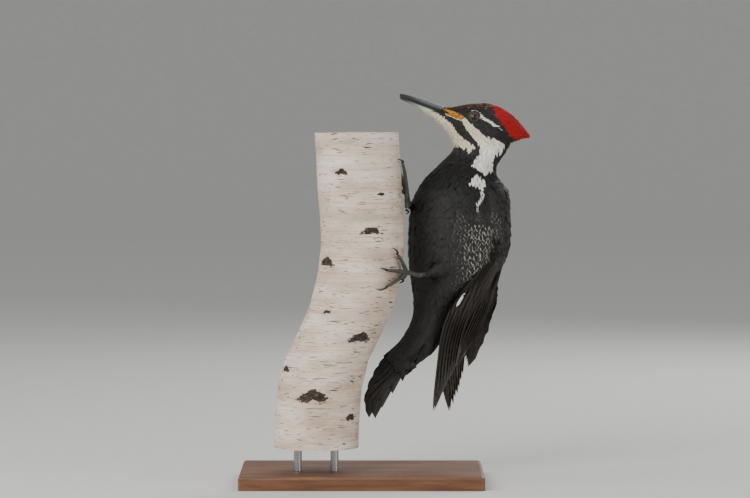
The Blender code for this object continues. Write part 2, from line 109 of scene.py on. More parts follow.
EYES = (centre("eye_left"), centre("eye_right"))
EYE_RADIUS = (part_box("eye_left")[1].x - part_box("eye_left")[0].x) / 2
HEAD_MIDDLE = (EYES[0] + EYES[1]) / 2
BILL_TILT = math.radians(21)
FORWARD = Vector((-math.cos(BILL_TILT), 0, math.sin(BILL_TILT)))
UPWARD = Vector((math.sin(BILL_TILT), 0, math.cos(BILL_TILT)))
LEFTWARD = Vector((0, -1, 0))
FACE_SLANT = 0.645  # how far back the face's edge at the bill runs for each millimetre up


def head_place(forward, up, left=0.0):
    """A place in the head's own frame, in millimetres from between the eyes."""
    return HEAD_MIDDLE + (FORWARD * forward + UPWARD * up + LEFTWARD * left) * MM


def in_head(places):
    """How far forward and up of the eyes' middle places are, in millimetres."""
    away = (np.asarray(places) - np.array(HEAD_MIDDLE)) / MM
    return away @ np.array(FORWARD), away @ np.array(UPWARD)


# ---------------------------------------------------------------- the bird seen from its side

# The turn of the bird's middle plane at each height above the floor, in millimetres and degrees.
TURNS = ((150, 36), (177, 31), (195, 28), (214, 27), (283, 26), (300, 21), (310, 15), (319, 8), (330, 0))
SECTION_REACH = 9  # how near to a height the places of its section are
HEAD_BACK = 5.6  # how far behind the eyes the head's own middle is


def midline():
    """The x and y of the body's middle at each height in TURNS, in millimetres."""
    places = np.array([v.co for name in ("head", "neck", "trunk") for v in NODES[name].data.vertices]) / MM
    rows = []
    for height, _ in TURNS[:-1]:
        section = places[abs(places[:, 2] - height) < SECTION_REACH, :2]
        rows.append((section.min(0) + section.max(0)) / 2)
    rows.append((HEAD_MIDDLE.x / MM + HEAD_BACK, HEAD_MIDDLE.y / MM))
    return np.array(rows)


MIDLINE = midline()


def middle_at(heights):
    """The x and y of the body's middle at any heights, in millimetres."""
    return [np.interp(heights, [height for height, _ in TURNS], side) for side in MIDLINE.T]


def at_side(places):
    """Places as seen squarely from the bird's left, with the right half folded over.

    Gives millimetres back from the eye and above it, and degrees round from the belly.
    """
    x, y, z = np.asarray(places).T / MM
    turn = np.radians(between(z, TURNS))
    middle_x, middle_y = middle_at(z)
    across, along = x - middle_x, y - middle_y
    belly = -(across * np.cos(turn) + along * np.sin(turn))
    left = abs(across * np.sin(turn) - along * np.cos(turn))
    back = middle_x - belly * np.cos(turn) + left * np.sin(turn) - HEAD_MIDDLE.x / MM
    return back, z - HEAD_MIDDLE.z / MM, np.degrees(np.arctan2(left, belly))


# The markings as outlines, in millimetres back from the eye and above it.
WHITE_STRIPE = ((-13, -3.1), (-10.8, 0.4), (-4.5, -5.4), (3.8, -12.4), (8.3, -17.5), (14.7, -20),
                (15.2, -23.8), (19.8, -21.3), (27.4, -25.8), (30, -29.6), (27.4, -34.7), (21.1, -37.2),
                (18.5, -45.5), (17.9, -53.8), (14.7, -54.5), (10.8, -57.6), (4.5, -54.6), (1.3, -51),
                (-3.5, -47.4), (0, -46.8), (-0.6, -43.6), (3.2, -38.5), (7, -36.6), (6.4, -30.9),
                (1.9, -23.2), (-3.2, -18.1), (-9.6, -9.2))
WHITE_SHOULDER = ((0.8, -57.4), (-2, -61.5), (-5.5, -66.5), (-1, -67.5), (2.5, -69.5), (6.5, -72),
                  (10.5, -67.5), (9.4, -63.5), (5.2, -60.2))
CREAM_CHIN = ((-60, 13), (-50.8, 10.4), (-41, 6.3), (-31.4, 0.6), (-26, -3.5), (-21.5, -8.6),
              (-17.8, -14.3), (-13.4, -18.7), (-8.3, -22.6), (-1.9, -27.7), (1.9, -30.9), (-0.6, -33.4),
              (-4.5, -36), (-9.6, -33.4), (-13.4, -29), (-17.2, -30.2), (-21, -29), (-60, -29))
GOLD_NOSTRIL = ((-30.8, 8.6), (-23.7, 7.2), (-13.8, 3.0), (-10.6, 0.2), (-11.3, -1.5), (-15.2, -0.6),
                (-25.0, 4.6), (-31.2, 7.6))
OUTLINES = ((CREAM_CHIN, CREAM), (WHITE_STRIPE, WHITE), (WHITE_SHOULDER, WHITE), (GOLD_NOSTRIL, GOLD))
OUTLINES_END = -100  # above the eye: no outline reaches further down
NAPE = 165  # degrees round from the belly: no outline reaches further round

# The thin lines in the same measure, each with its half widths from end to end, its colour, and its
# feathers' length and the lift of their tips.
LINES = (
    (((-2.6, 6.4), (2.0, 5.3)), (0.5, 0.5), WHITE, 2.6, 0.95),
    (((4.2, 4.2), (5.6, 2.0), (7.7, -0.9), (13.8, -3.6), (17.6, -7), (23, -10.1), (29.1, -13.5)),
     (0.7, 0.8, 0.9, 1.3, 1.6, 1.2, 0.4), WHITE, 2.6, 0.95),
    (((5.5, -68), (6.7, -74.9), (5.7, -80), (1.9, -83.8), (1.9, -92)),
     (1.6, 1.2, 1.0, 0.8, 0.4), WHITE, 4.5, 1.25),
    (((-29, 3.4), (-22, 0.6), (-14.7, -2.4)), (0.25, 0.35, 0.3), CREAM, 2.6, 0.95),
)

# The front edge of the red, as millimetres above the eye and back from it, and the red's lower end.
RED_EDGE = ((-23, 60), (-21.3, 40.2), (-18.1, 36.4), (-14.3, 33.2), (-9.2, 31.5), (-4.7, 24.9),
            (1.7, 21.1), (7.4, 19.5), (13.4, 16.0), (30, 14.0))
RED_END = -27


def inside(outline, back, above):
    """Whether each place is inside a closed outline."""
    hit = np.zeros(len(back), bool)
    for (x0, z0), (x1, z1) in zip(outline, outline[1:] + outline[:1]):
        crosses = (z0 > above) != (z1 > above)
        hit ^= crosses & (back < (x1 - x0) * (above - z0) / (z1 - z0 + 1e-9) + x0)
    return hit


def on_line(line, widths, back, above):
    """Whether each place is on an open line, by the half widths along it."""
    nearest = np.full(len(back), np.inf)
    share = np.zeros(len(back))
    for number, ((x0, z0), (x1, z1)) in enumerate(zip(line, line[1:])):
        wide, high = x1 - x0, z1 - z0
        t = np.clip(((back - x0) * wide + (above - z0) * high) / (wide ** 2 + high ** 2), 0, 1)
        distance = np.hypot(back - x0 - t * wide, above - z0 - t * high)
        closer = distance < nearest
        nearest[closer] = distance[closer]
        share[closer] = (number + t[closer]) / (len(line) - 1)
    return nearest < np.interp(share, np.linspace(0, 1, len(widths)), widths)


def markings(places, ragged=0.0):
    """The plumage's colour and how pale its feathers' tips are, at each place.

    For feathers the outlines are made ragged and some are golden brown. The skin has the thin lines too.
    """
    back, above, angle = at_side(places)
    count = len(back)
    if ragged:
        back = back + RANDOM.normal(0, ragged, count)
        above = above + RANDOM.normal(0, ragged, count)
    brown = rising(angle, 60, 120) * rising(above, -75, -135)
    crown = rising(above, 6, 11) * rising(back, 24, 12)
    tint = blend(BLACK, BROWN_BLACK, 0.6 * brown[:, None])
    tint = blend(tint, CROWN, crown[:, None])
    if ragged:
        tint[(crown > 0.5) & (RANDOM.random(count) < 0.22)] = GOLDEN_BROWN
    tint[(back > between(above, RED_EDGE)) & (above > RED_END)] = RED
    for outline, hue in OUTLINES:
        covered = inside(outline, back, above) & (above > OUTLINES_END) & (angle < NAPE)
        tint[covered] = hue
        if ragged and outline is GOLD_NOSTRIL:
            tint[covered & (RANDOM.random(count) < 0.4)] = GOLDEN_BROWN
        if outline is WHITE_STRIPE:
            tint[covered] = blend(WHITE, CREAM, rising(above, -34, -18)[:, None])[covered]
    if not ragged:
        for line, widths, hue, _, _ in LINES:
            tint[on_line(line, widths, back, above)] = hue
    flank = np.exp(-((angle - 96) / 24) ** 2) * rising(above, -88, -100) * rising(above, -172, -147)
    return tint, flank


# ---------------------------------------------------------------- shader nodes

class Value:
    """What varies over a surface. Arithmetic on a number adds Math nodes."""

    def __init__(self, finish, socket):
        self.finish = finish
        self.socket = socket

    def math(self, operation, *others):
        return self.finish.math(operation, self, *others)

    def __add__(self, other):
        return self.math("ADD", other)

    def __radd__(self, other):
        return self.math("ADD", other)

    def __sub__(self, other):
        return self.math("SUBTRACT", other)

    def __rsub__(self, other):
        return self.finish.math("SUBTRACT", other, self)

    def __mul__(self, other):
        return self.math("MULTIPLY", other)

    def __rmul__(self, other):
        return self.math("MULTIPLY", other)

    def __truediv__(self, other):
        return self.math("DIVIDE", other)

    def __rtruediv__(self, other):
        return self.finish.math("DIVIDE", other, self)

    def __pow__(self, other):
        return self.math("POWER", other)

    def waves(self):
        """From 0 to 1 and back, once for each whole number."""
        return (self * math.tau).math("SINE") * 0.5 + 0.5

    def spread(self, low, high, to_low=0.0, to_high=1.0):
        """The range low to high, stretched to another and held at its ends."""
        return self.finish.node("ShaderNodeMapRange", {"clamp": True}, self, low, high, to_low, to_high)

    def ramp(self, *stops):
        """A colour read off stops: each a number, and its colour's red, green and blue, 0 to 255."""
        return self.finish.node("ShaderNodeValToRGB", {"stops": stops}, self)


class Finish:
    """One material and the nodes added to it."""

    def __init__(self, name, **sockets):
        self.material = bpy.data.materials.new(name)
        self.material.use_nodes = True
        self.tree = self.material.node_tree
        self.shader = self.tree.nodes["Principled BSDF"]
        self.place = self.node("ShaderNodeTexCoord", output="Object")
        self.set(**sockets)

    def node(self, kind, settings=None, *values, output=None, **named):
        """A node of a type, with its settings, then values or links for its sockets in order or by name."""
        made = self.tree.nodes.new(kind)
        for key, value in (settings or {}).items():
            if key == "stops":
                for _ in value[2:]:
                    made.color_ramp.elements.new(0.5)
                for element, (position, *shade) in zip(made.color_ramp.elements, value):
                    element.position = position
                    element.color = (*colour(*shade), 1)
            else:
                setattr(made, key, value)
        in_use = [socket for socket in made.inputs if socket.enabled]
        for socket, value in zip(in_use, values):
            self.feed(socket, value)
        for key, value in named.items():
            self.feed(made.inputs[key.replace("_", " ")], value)
        if output:
            return Value(self, made.outputs[output])
        return Value(self, next(socket for socket in made.outputs if socket.enabled))

    def feed(self, socket, value):
        """Links a value to a socket, or sets the socket to a number or colour."""
        if isinstance(value, Value):
            self.tree.links.new(value.socket, socket)
        else:
            socket.default_value = (*value, 1) if socket.type == "RGBA" else value

    def set(self, **sockets):
        for key, value in sockets.items():
            self.feed(self.shader.inputs[key.replace("_", " ")], value)
        return self

    def math(self, operation, *values):
        return self.node("ShaderNodeMath", {"operation": operation}, *values)

    def vector_math(self, operation, *values):
        return self.node("ShaderNodeVectorMath", {"operation": operation}, *values)

    def mix(self, share, first, second):
        """A share of the way from one colour to another."""
        return self.node("ShaderNodeMix", {"data_type": "RGBA"}, share, first, second)

    def parts(self, vector):
        """A vector's x, y and z."""
        made = self.node("ShaderNodeSeparateXYZ", None, vector).socket.node
        return [Value(self, socket) for socket in made.outputs]

    def away(self, middle):
        """How far each place is from a middle, along x, y and z."""
        return self.parts(self.vector_math("SUBTRACT", self.place, tuple(middle)))

    def attribute(self, name, output="Color"):
        return self.node("ShaderNodeAttribute", {"attribute_name": name}, output=output)

    def tinted(self, shade):
        """The colour that each vertex carries, made lighter or darker."""
        return self.vector_math("SCALE", self.attribute("tint"), shade)

    def noise(self, scale, detail=4.0, place=None, distortion=0.0):
        return self.node("ShaderNodeTexNoise", Vector=place or self.place, Scale=scale, Detail=detail,
                         Roughness=0.55, Distortion=distortion)

    def grain(self, size, detail, turn=(0, 0, 0), distortion=0.0):
        """Noise in features of a size along x, y and z, in millimetres, turned with them."""
        scale = [side * MM for side in size]
        place = self.node("ShaderNodeMapping", {"vector_type": "TEXTURE"}, Vector=self.place, Scale=scale,
                          Rotation=turn)
        return self.noise(1.0, detail, place, distortion)

    def bump(self, height, depth, strength=1.0):
        """Relief of a depth in millimetres."""
        return self.set(Normal=self.node("ShaderNodeBump", Strength=strength, Distance=depth * MM,
                                         Height=height))


# ---------------------------------------------------------------- pieces

WELD = 0.001 * MM  # how near two corners are merged


def in_scene(name, data):
    made = bpy.data.objects.new(name, data)
    bpy.context.scene.collection.objects.link(made)
    return made


def show(name, mesh, finish, slot, *nodes):
    """A mesh as a named piece that stands for CAD nodes."""
    made = in_scene(name, mesh)
    mesh.name = name
    mesh.materials.append(finish.material)
    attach(made, "root")
    if nodes:
        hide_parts(*nodes)
    return made


def merged(*names):
    """CAD nodes as one bmesh, with their loose triangles joined."""
    bm = bmesh.new()
    for name in names:
        bm.from_mesh(NODES[name].data)
    bmesh.ops.remove_doubles(bm, verts=bm.verts, dist=WELD)
    return bm


def to_mesh(bm, sharp=None):
    """The bmesh as a smooth mesh, with edges sharper than an angle kept."""
    mesh = bpy.data.meshes.new("mesh")
    bm.to_mesh(mesh)
    bm.free()
    mesh.shade_smooth()
    if sharp:
        mesh.set_sharp_from_angle(angle=math.radians(sharp))
    return mesh


def modified(bm, kind, **settings):
    """The bmesh with one modifier applied, as a mesh."""
    holder = in_scene("holder", to_mesh(bm))
    modifier = holder.modifiers.new("work", kind)
    for key, value in settings.items():
        setattr(modifier, key, value)
    depsgraph = bpy.context.evaluated_depsgraph_get()
    made = bpy.data.meshes.new_from_object(holder.evaluated_get(depsgraph))
    bpy.data.objects.remove(holder)
    return made


def from_mesh(mesh):
    bm = bmesh.new()
    bm.from_mesh(mesh)
    return bm


def melted(bm, size):
    """The bmesh remade as one closed shape of small squares."""
    return from_mesh(modified(bm, "REMESH", mode="VOXEL", voxel_size=size))


def subdivided(bm, sharp, levels):
    """The bmesh rounded by subdivision, with edges sharper than an angle kept, as a mesh."""
    layer = bm.edges.layers.float.new("crease_edge")
    for edge in bm.edges:
        if edge.is_manifold and edge.calc_face_angle() > math.radians(sharp):
            edge[layer] = 0.8
    mesh = modified(bm, "SUBSURF", levels=levels, render_levels=levels)
    mesh.shade_smooth()
    return mesh


def smooth(bm, times):
    for _ in range(times):
        bmesh.ops.smooth_vert(bm, verts=bm.verts, factor=0.5, use_axis_x=True, use_axis_y=True,
                              use_axis_z=True)


def swell(bm, depth):
    """Moves the surface out along its normals, by millimetres."""
    for vert in bm.verts:
        vert.co += vert.normal * depth * MM


def fill_holes(bm):
    bmesh.ops.holes_fill(bm, edges=[edge for edge in bm.edges if edge.is_boundary])


def read(items, key, width, kind=np.float32):
    """One property of a mesh's vertices or triangles, as rows of numbers."""
    values = np.empty(len(items) * width, kind)
    items.foreach_get(key, values)
    return values.reshape(-1, width)


def coordinates(mesh):
    return read(mesh.vertices, "co", 3).astype(float)


def paint(mesh, tints, fringes=None):
    """Stores a colour, and how pale the tips are, at each vertex."""
    rgba = np.ones((len(mesh.vertices), 4), np.float32)
    rgba[:, :3] = tints
    mesh.attributes.new("tint", "FLOAT_COLOR", "POINT").data.foreach_set("color", rgba.ravel())
    if fringes is not None:
        fringe = mesh.attributes.new("fringe", "FLOAT", "POINT")
        fringe.data.foreach_set("value", fringes.astype(np.float32))


# ---------------------------------------------------------------- the skin

# How deep the plumage is at each height above the eye.
COAT_DEPTHS = ((-262, 0.3), (-243, 1.1), (-225, 2.0), (-200, 2.0), (-60, 1.9), (-40, 1.5), (-25, 1.1),
               (30, 0.9))
SKIN_VOXEL = 1.3 * MM
OVERLAP = 0.3  # how far the solids are swelled so that they meet, and sunk again
WING_ROOTS_END = Vector((0, 0, 203 * MM))  # the skin holds the wings above this
TAIL_WAY = Vector((-0.66, 0, -0.75))  # the way the tail leaves the body
COVERTS_END = Vector((33, 0, 112.5)) * MM  # where the short feathers over the tail's root end
TAIL_BRIDGE = 12 * MM  # how near to the trunk the tail's root is joined to it


def cut_off(names, place, way):
    """CAD nodes as one closed bmesh, without what lies past a place."""
    bm = merged(*names)
    geometry = [*bm.verts, *bm.edges, *bm.faces]
    bmesh.ops.bisect_plane(bm, geom=geometry, plane_co=place, plane_no=way, clear_outer=True)
    fill_holes(bm)
    return bm


def bridge_to_trunk(stump):
    """The hull of the tail's root and the places on the trunk nearest to it."""
    trunk = merged("trunk")
    nearby = KDTree(len(trunk.verts))
    for number, vert in enumerate(trunk.verts):
        nearby.insert(vert.co, number)
    nearby.balance()
    trunk.free()
    bridge = bmesh.new()
    for vert in stump.verts:
        place, _, distance = nearby.find(vert.co)
        if distance < TAIL_BRIDGE:
            bridge.verts.new(vert.co)
            bridge.verts.new(place)
    bmesh.ops.convex_hull(bridge, input=bridge.verts)
    return bridge


def plumage_base():
    """One closed skin for the head, neck, trunk, thighs and the wings' upper parts, inside the plumage."""
    wings = cut_off(("wing_left", "wing_right"), WING_ROOTS_END, (0, 0, -1))
    tail = cut_off(("tail",), COVERTS_END, TAIL_WAY)
    bridge = bridge_to_trunk(tail)
    bodies = merged("head", "neck", "trunk", "crest", "thigh_left", "thigh_right")
    for added in (bridge, wings, tail):
        bodies.from_mesh(to_mesh(added))
    bodies.normal_update()
    swell(bodies, OVERLAP)
    bm = melted(bodies, SKIN_VOXEL)
    smooth(bm, 5)
    bm.normal_update()
    heights = np.array([v.co.z for v in bm.verts]) / MM - HEAD_MIDDLE.z / MM
    for vert, depth in zip(bm.verts, between(heights, COAT_DEPTHS) + OVERLAP):
        vert.co -= vert.normal * depth * MM
    smooth(bm, 1)
    bmesh.ops.triangulate(bm, faces=bm.faces)
    return to_mesh(bm)


def unwrap(made):
    """Lays the piece's own shape out flat, in a map named OFBake."""
    made.data.uv_layers.new(name="OFBake")
    bpy.context.view_layer.objects.active = made
    made.select_set(True)
    bpy.ops.object.mode_set(mode="EDIT")
    bpy.ops.mesh.select_all(action="SELECT")
    bpy.ops.uv.smart_project(angle_limit=math.radians(66), island_margin=0.002)
    bpy.ops.object.mode_set(mode="OBJECT")
    made.select_set(False)


TRIES = 4.5  # random places tried in each square of the spacing
NEIGHBOURS = tuple(product((-1, 0, 1), repeat=3))


def spaced_out(places, spacing):
    """The numbers of the places that keep a distance from all those chosen before them."""
    taken, kept = {}, []
    cells = np.floor(places / spacing).astype(int).tolist()
    for number, (place, (x, y, z)) in enumerate(zip(places.tolist(), cells)):
        others = (taken.get((x + i, y + j, z + k)) for i, j, k in NEIGHBOURS)
        if all(other is None or math.dist(other, place) >= spacing for other in others):
            taken[x, y, z] = place
            kept.append(number)
    return kept


class Hide:
    """A surface that feathers grow from: its triangles, nearest places and flat layout."""

    def __init__(self, mesh):
        mesh.calc_loop_triangles()
        self.places = coordinates(mesh)
        self.normals = read(mesh.vertices, "normal", 3)
        self.corners = read(mesh.loop_triangles, "vertices", 3, np.int32)
        layout = read(mesh.uv_layers["OFBake"].uv, "vector", 2)
        self.layout = layout[read(mesh.loop_triangles, "loops", 3, np.int32)]
        a, b, c = (self.places[self.corners[:, i]] for i in range(3))
        self.areas = np.linalg.norm(np.cross(b - a, c - a), axis=1) / 2
        self.middles = (a + b + c) / 3
        self.tree = BVHTree.FromPolygons([Vector(p) for p in self.places], self.corners.tolist())

    def scatter(self, spacing, wanted):
        """Evenly spread roots on the triangles that are wanted: places, normals and layout."""
        areas = np.where(wanted, self.areas, 0)
        tries = int(TRIES * areas.sum() / spacing ** 2)
        chosen = RANDOM.choice(len(areas), tries, p=areas / areas.sum())
        shares = RANDOM.random((tries, 2))
        shares[shares.sum(1) > 1] = 1 - shares[shares.sum(1) > 1]
        shares = np.column_stack((1 - shares.sum(1), shares))[:, :, None]
        places = (self.places[self.corners[chosen]] * shares).sum(1)
        kept = spaced_out(places, spacing)
        normals = (self.normals[self.corners[chosen[kept]]] * shares[kept]).sum(1)
        return places[kept], normals, (self.layout[chosen[kept]] * shares[kept]).sum(1)

    def walk(self, place, normal, heading, stride, steps):
        """Places and normals along the surface, each a stride on from the last."""
        places, normals = [place], [normal]
        for _ in range(steps):
            heading = (heading - normal * heading.dot(normal)).normalized()
            found, facing, _, _ = self.tree.find_nearest(place + heading * stride)
            step = found - place
            way = step.normalized() if step.length > 0.4 * stride else heading
            place = place + way * stride
            normal = (normal + facing).normalized()
            places.append(place)
            normals.append(normal)
        return places, normals


# ---------------------------------------------------------------- vanes

def leaf(shift, thinness):
    """A small vane's half width along its length. A shift above 1 puts its widest place nearer the tip."""
    return lambda t: math.sin(math.pi * t ** shift) ** thinness


def blade(root, widening, point, bluntness, fullness):
    """A long vane's half width along its length: a narrow root, even sides, and a point from a share on."""
    def half_width(t):
        narrowed = 1 - max(0, (t - point) / (1 - point)) ** bluntness
        return min(1, root + t * widening) * narrowed ** fullness
    return half_width


def tuft(t):
    """A tuft's half width along its length."""
    return (1 - t) ** 0.5 if t > 0.3 else 0.45 + t * 1.3


def vane_form(rings, outline):
    """A closed boat of unit length and half width: its vertices along, across and up, and its faces."""
    bm = bmesh.new()
    bmesh.ops.create_grid(bm, x_segments=2, y_segments=rings + 1, size=1)
    for vert in bm.verts:
        across = round(vert.co.x)
        along = round((vert.co.y + 1) / 2 * (rings + 1)) / (rings + 1)
        vert.co = (across * outline(along), along, (1 - abs(across)) * min(1, 2.5 * along + 0.2))
    bmesh.ops.remove_doubles(bm, verts=bm.verts, dist=1e-5)
    for end in (0.0, 1.0):
        met = [vert for vert in bm.verts if vert.co.y == end]
        bmesh.ops.pointmerge(bm, verts=met, merge_co=(0, end, 0))
    fill_holes(bm)
    bmesh.ops.triangulate(bm, faces=bm.faces)
    bmesh.ops.recalc_face_normals(bm, faces=bm.faces)
    points = np.array([(v.co.y, v.co.x, v.co.z) for v in bm.verts])
    faces = np.array([[v.index for v in face.verts] for face in bm.faces])
    bm.free()
    return points, faces


SMALL = vane_form(2, leaf(1.0, 0.6))
BROAD = vane_form(3, leaf(0.8, 0.55))
ROUNDED = vane_form(5, leaf(1.6, 0.5))
COVERT = vane_form(4, leaf(0.8, 0.5))
TUFT = vane_form(3, tuft)
WING_BLADE = vane_form(12, blade(0.35, 6.25, 0.76, 1.72, 0.7))
TAIL_BLADE = vane_form(12, blade(0.5, 3.0, 0.5, 1.8, 0.85))
BAKE_PATCH = 0.003  # a vane's size on the flat layout


def copies(places, faces):
    """One mesh of many copies of a form's triangles, each with its own places."""
    count, size = places.shape[:2]
    corners = (faces[None] + (np.arange(count) * size)[:, None, None]).ravel().astype(np.int32)
    mesh = bpy.data.meshes.new("vanes")
    mesh.vertices.add(count * size)
    mesh.vertices.foreach_set("co", places.astype(np.float32).ravel())
    mesh.loops.add(len(corners))
    mesh.loops.foreach_set("vertex_index", corners)
    mesh.polygons.add(len(corners) // 3)
    mesh.polygons.foreach_set("loop_start", np.arange(0, len(corners), 3, dtype=np.int32))
    mesh.update(calc_edges=True)
    mesh.shade_smooth()
    mesh.set_sharp_from_angle(angle=math.radians(50))
    return mesh


def unit(vectors):
    return vectors / np.linalg.norm(vectors, axis=2, keepdims=True)


def grow(form, lines, normals, half_widths, rise, lifts, tints, layout, fringes=0.0):
    """One mesh of vanes. Each follows its own line of places, lifted off it from root to tip.

    Half widths, the shaft's rise and the lifts are in millimetres.
    """
    points, faces = form
    along, across, up = points.T
    lines, normals = np.asarray(lines), np.asarray(normals)
    count, stations = lines.shape[:2]
    first = np.minimum((along * (stations - 1)).astype(int), stations - 2)
    share = (along * (stations - 1) - first)[None, :, None]
    place = lines[:, first] * (1 - share) + lines[:, first + 1] * share
    facing = unit(normals[:, first] * (1 - share) + normals[:, first + 1] * share)
    aside = unit(np.cross(lines[:, first + 1] - lines[:, first], facing))
    half_widths = np.broadcast_to(half_widths, count)[:, None] * MM
    lifts = np.broadcast_to(lifts, (count, 2)) * MM
    height = lifts[:, :1] * (1 - along) + lifts[:, 1:] * along + rise * MM * up
    place = place + aside * (across * half_widths)[:, :, None] + facing * height[:, :, None]
    mesh = copies(place, faces)
    patch = np.column_stack((across / 2, along - 0.5)) * BAKE_PATCH
    baked = (layout[:, None] + patch[None])[:, faces]
    own = np.tile(np.column_stack((across / 2 + 0.5, along))[faces], (count, 1, 1))
    for title, flat in (("OFBake", baked), ("vane", own)):
        mesh.uv_layers.new(name=title).uv.foreach_set("vector", flat.astype(np.float32).ravel())
    fringes = np.broadcast_to(fringes, count)
    paint(mesh, np.repeat(tints, len(points), 0), np.repeat(fringes, len(points)))
    return mesh


def loose_layout(count, seed):
    """Places on the flat layout for vanes that grow from no skin."""
    return np.random.default_rng(seed).random((count, 2))


# ---------------------------------------------------------------- small feathers

BILL_ROOT = head_place(33, -6)
PAST_CREST = Vector((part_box("crest")[1].x + 14 * MM, HEAD_MIDDLE.y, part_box("crest")[0].z))
NAPE_WAY = Vector((-0.28, 0, -1)).normalized()
# How far towards the perch the feathers run for each millimetre down, at each height above the floor.
BELLY_SLOPE = ((118, 1.05), (137, 1.0), (150, 0.8), (165, 0.5), (187, 0.35), (232, 0.0))


def lie(place):
    """The way feathers point at a place: away from the bill, over the head, and down the body."""
    back, above = (float(value[0]) for value in at_side(np.array([place]))[:2])
    height = place.z / MM
    turn = math.radians(between(height, TURNS))
    slope = between(height, BELLY_SLOPE)
    down = Vector((-slope * math.cos(turn), -slope * math.sin(turn), -1)).normalized()
    down = down.lerp(NAPE_WAY, rising(height, 285, 305))
    neck = rising(above, -14, -36)
    crown = rising(back, 4, 20) * rising(above + 0.3 * back, -20, -6)
    way = (place - BILL_ROOT).normalized().lerp((PAST_CREST - place).normalized(), crown)
    return way.lerp(down, neck * (1 - crown)).normalized()


HIDE_STRIDES = 4  # steps that a small feather takes along the skin
SWAY = 0.12  # how far it turns from the lie of the plumage, in radians
RAGGED = 0.5  # how far its markings are shifted, in millimetres


def feathers(hide, roots, lengths, half_width, rise, lifts, form, tone=None):
    """One vane at each root, along the lie of the plumage. Sizes are in millimetres."""
    places, normals, layout = roots
    count = len(places)
    long = lengths * RANDOM.normal(1, 0.1, count)
    wide = half_width * RANDOM.normal(1, 0.1, count)
    lines, ups = [], []
    for place, normal, size, turn in zip(places, normals, long, RANDOM.normal(0, SWAY, count)):
        place, normal = Vector(place), Vector(normal).normalized()
        heading = lie(place)
        heading.rotate(Matrix.Rotation(turn, 3, normal))
        line, up = hide.walk(place, normal, heading, size * MM / HIDE_STRIDES, HIDE_STRIDES)
        lines.append([tuple(v) for v in line])
        ups.append([tuple(v) for v in up])
    lines = np.array(lines)
    seen = lines[:, 0] * 0.35 + lines[:, -1] * 0.65
    tints, fringes = markings(seen, RAGGED)
    if tone is not None:
        tints = tone
    tints = tints * RANDOM.normal(1, 0.13, (count, 1)).clip(0.6, 1.45)
    lifts = np.array(lifts) * RANDOM.normal(1, 0.25, (count, 1)).clip(0.4, 1.8)
    return grow(form, lines, ups, wide, rise, lifts, tints.clip(0, 1), layout, fringes)


LIDS_EDGE = 6.3 * MM  # no feather grows nearer to an eye's middle
EYE_SURROUND = 12 * MM
FACE_LOWEST = 335 * MM
# Where one coat gives way to the next, in millimetres above the eye.
HEAD_END, NECK_END, BODY_END = -28, -66, -178

# Each coat's spacing, and its feathers' length, half width, rise, lifts of root and tip, and form.
COATS = {
    "face": (0.85, 3.0, 0.55, 0.18, (-0.2, 0.55), SMALL),
    "head": (1.0, 5.0, 0.7, 0.25, (-0.3, 0.9), SMALL),
    "neck": (1.5, 8.0, 1.1, 0.35, (-0.4, 1.3), BROAD),
    "shoulder": (1.5, 7.0, 1.1, 0.35, (-0.4, 1.2), BROAD),
    "body": (2.7, 13.0, 2.9, 0.5, (-0.5, 1.5), ROUNDED),
    "crest": (1.3, 7.5, 0.6, 0.3, (-0.2, 1.7), SMALL),
    "rump": (2.6, 17.0, 2.6, 0.5, (-0.6, 0.8), BROAD),
}


def from_coverts_end(places):
    """How far up the tail from the end of the short feathers places are, in millimetres."""
    return (places - np.array(COVERTS_END)) @ -np.array(TAIL_WAY) / MM


def coat_zones(places):
    """Where each coat grows."""
    back, above, _ = at_side(places)
    forward, _ = in_head(places)
    from_eye = np.min([np.linalg.norm(places - np.array(eye), axis=1) for eye in EYES], axis=0)
    clear = from_eye > LIDS_EDGE
    crest_edge = -22 - 0.2 * (back - 18)
    face = clear & ((from_eye < EYE_SURROUND) | (forward > 6)) & (places[:, 2] > FACE_LOWEST)
    shoulder = (above <= -44) & (above > -98) & (abs(back - 4) < 13)
    return {
        "face": face,
        "head": ~face & clear & (above > HEAD_END),
        "neck": (above <= HEAD_END) & (above > NECK_END) & ~shoulder,
        "shoulder": shoulder,
        "body": (above <= NECK_END) & (above > BODY_END) & ~shoulder,
        "crest": (back > 18) & (above > crest_edge),
        "rump": (above <= BODY_END) & (from_coverts_end(places) > 3),
    }


def plumes():
    """The skin and the small feathers of the head, neck and body."""
    skin = show("skin", plumage_base(), down(), "plumage_black",
                "head", "neck", "trunk", "crest", "thigh_left", "thigh_right")
    unwrap(skin)
    tints, _ = markings(coordinates(skin.data))
    paint(skin.data, tints)
    hide = Hide(skin.data)
    finish = plumage("feathers")
    zones = coat_zones(hide.middles)
    for name, (spacing, length, *sizes) in COATS.items():
        roots = hide.scatter(spacing * MM, zones[name])
        if name == "rump":
            length = np.clip(from_coverts_end(roots[0]) * 1.1 + 1.5, 5.0, length)
        show("coat_" + name, feathers(hide, roots, length, *sizes), finish, "plumage_black")
    back, above, _ = at_side(hide.middles)
    for number, (line, widths, tone, length, lift) in enumerate(LINES, 1):
        roots = hide.scatter(0.5 * MM, on_line(line, np.array(widths) * 0.85, back, above))
        mesh = feathers(hide, roots, length, 0.34, 0.15, (0.3, lift), SMALL, tone)
        show(f"coat_line_{number}", mesh, finish, "plumage_black")
    return hide


# ---------------------------------------------------------------- flight feathers

FOLD_LEVELS = 70  # heights at which a wing's outer face is measured


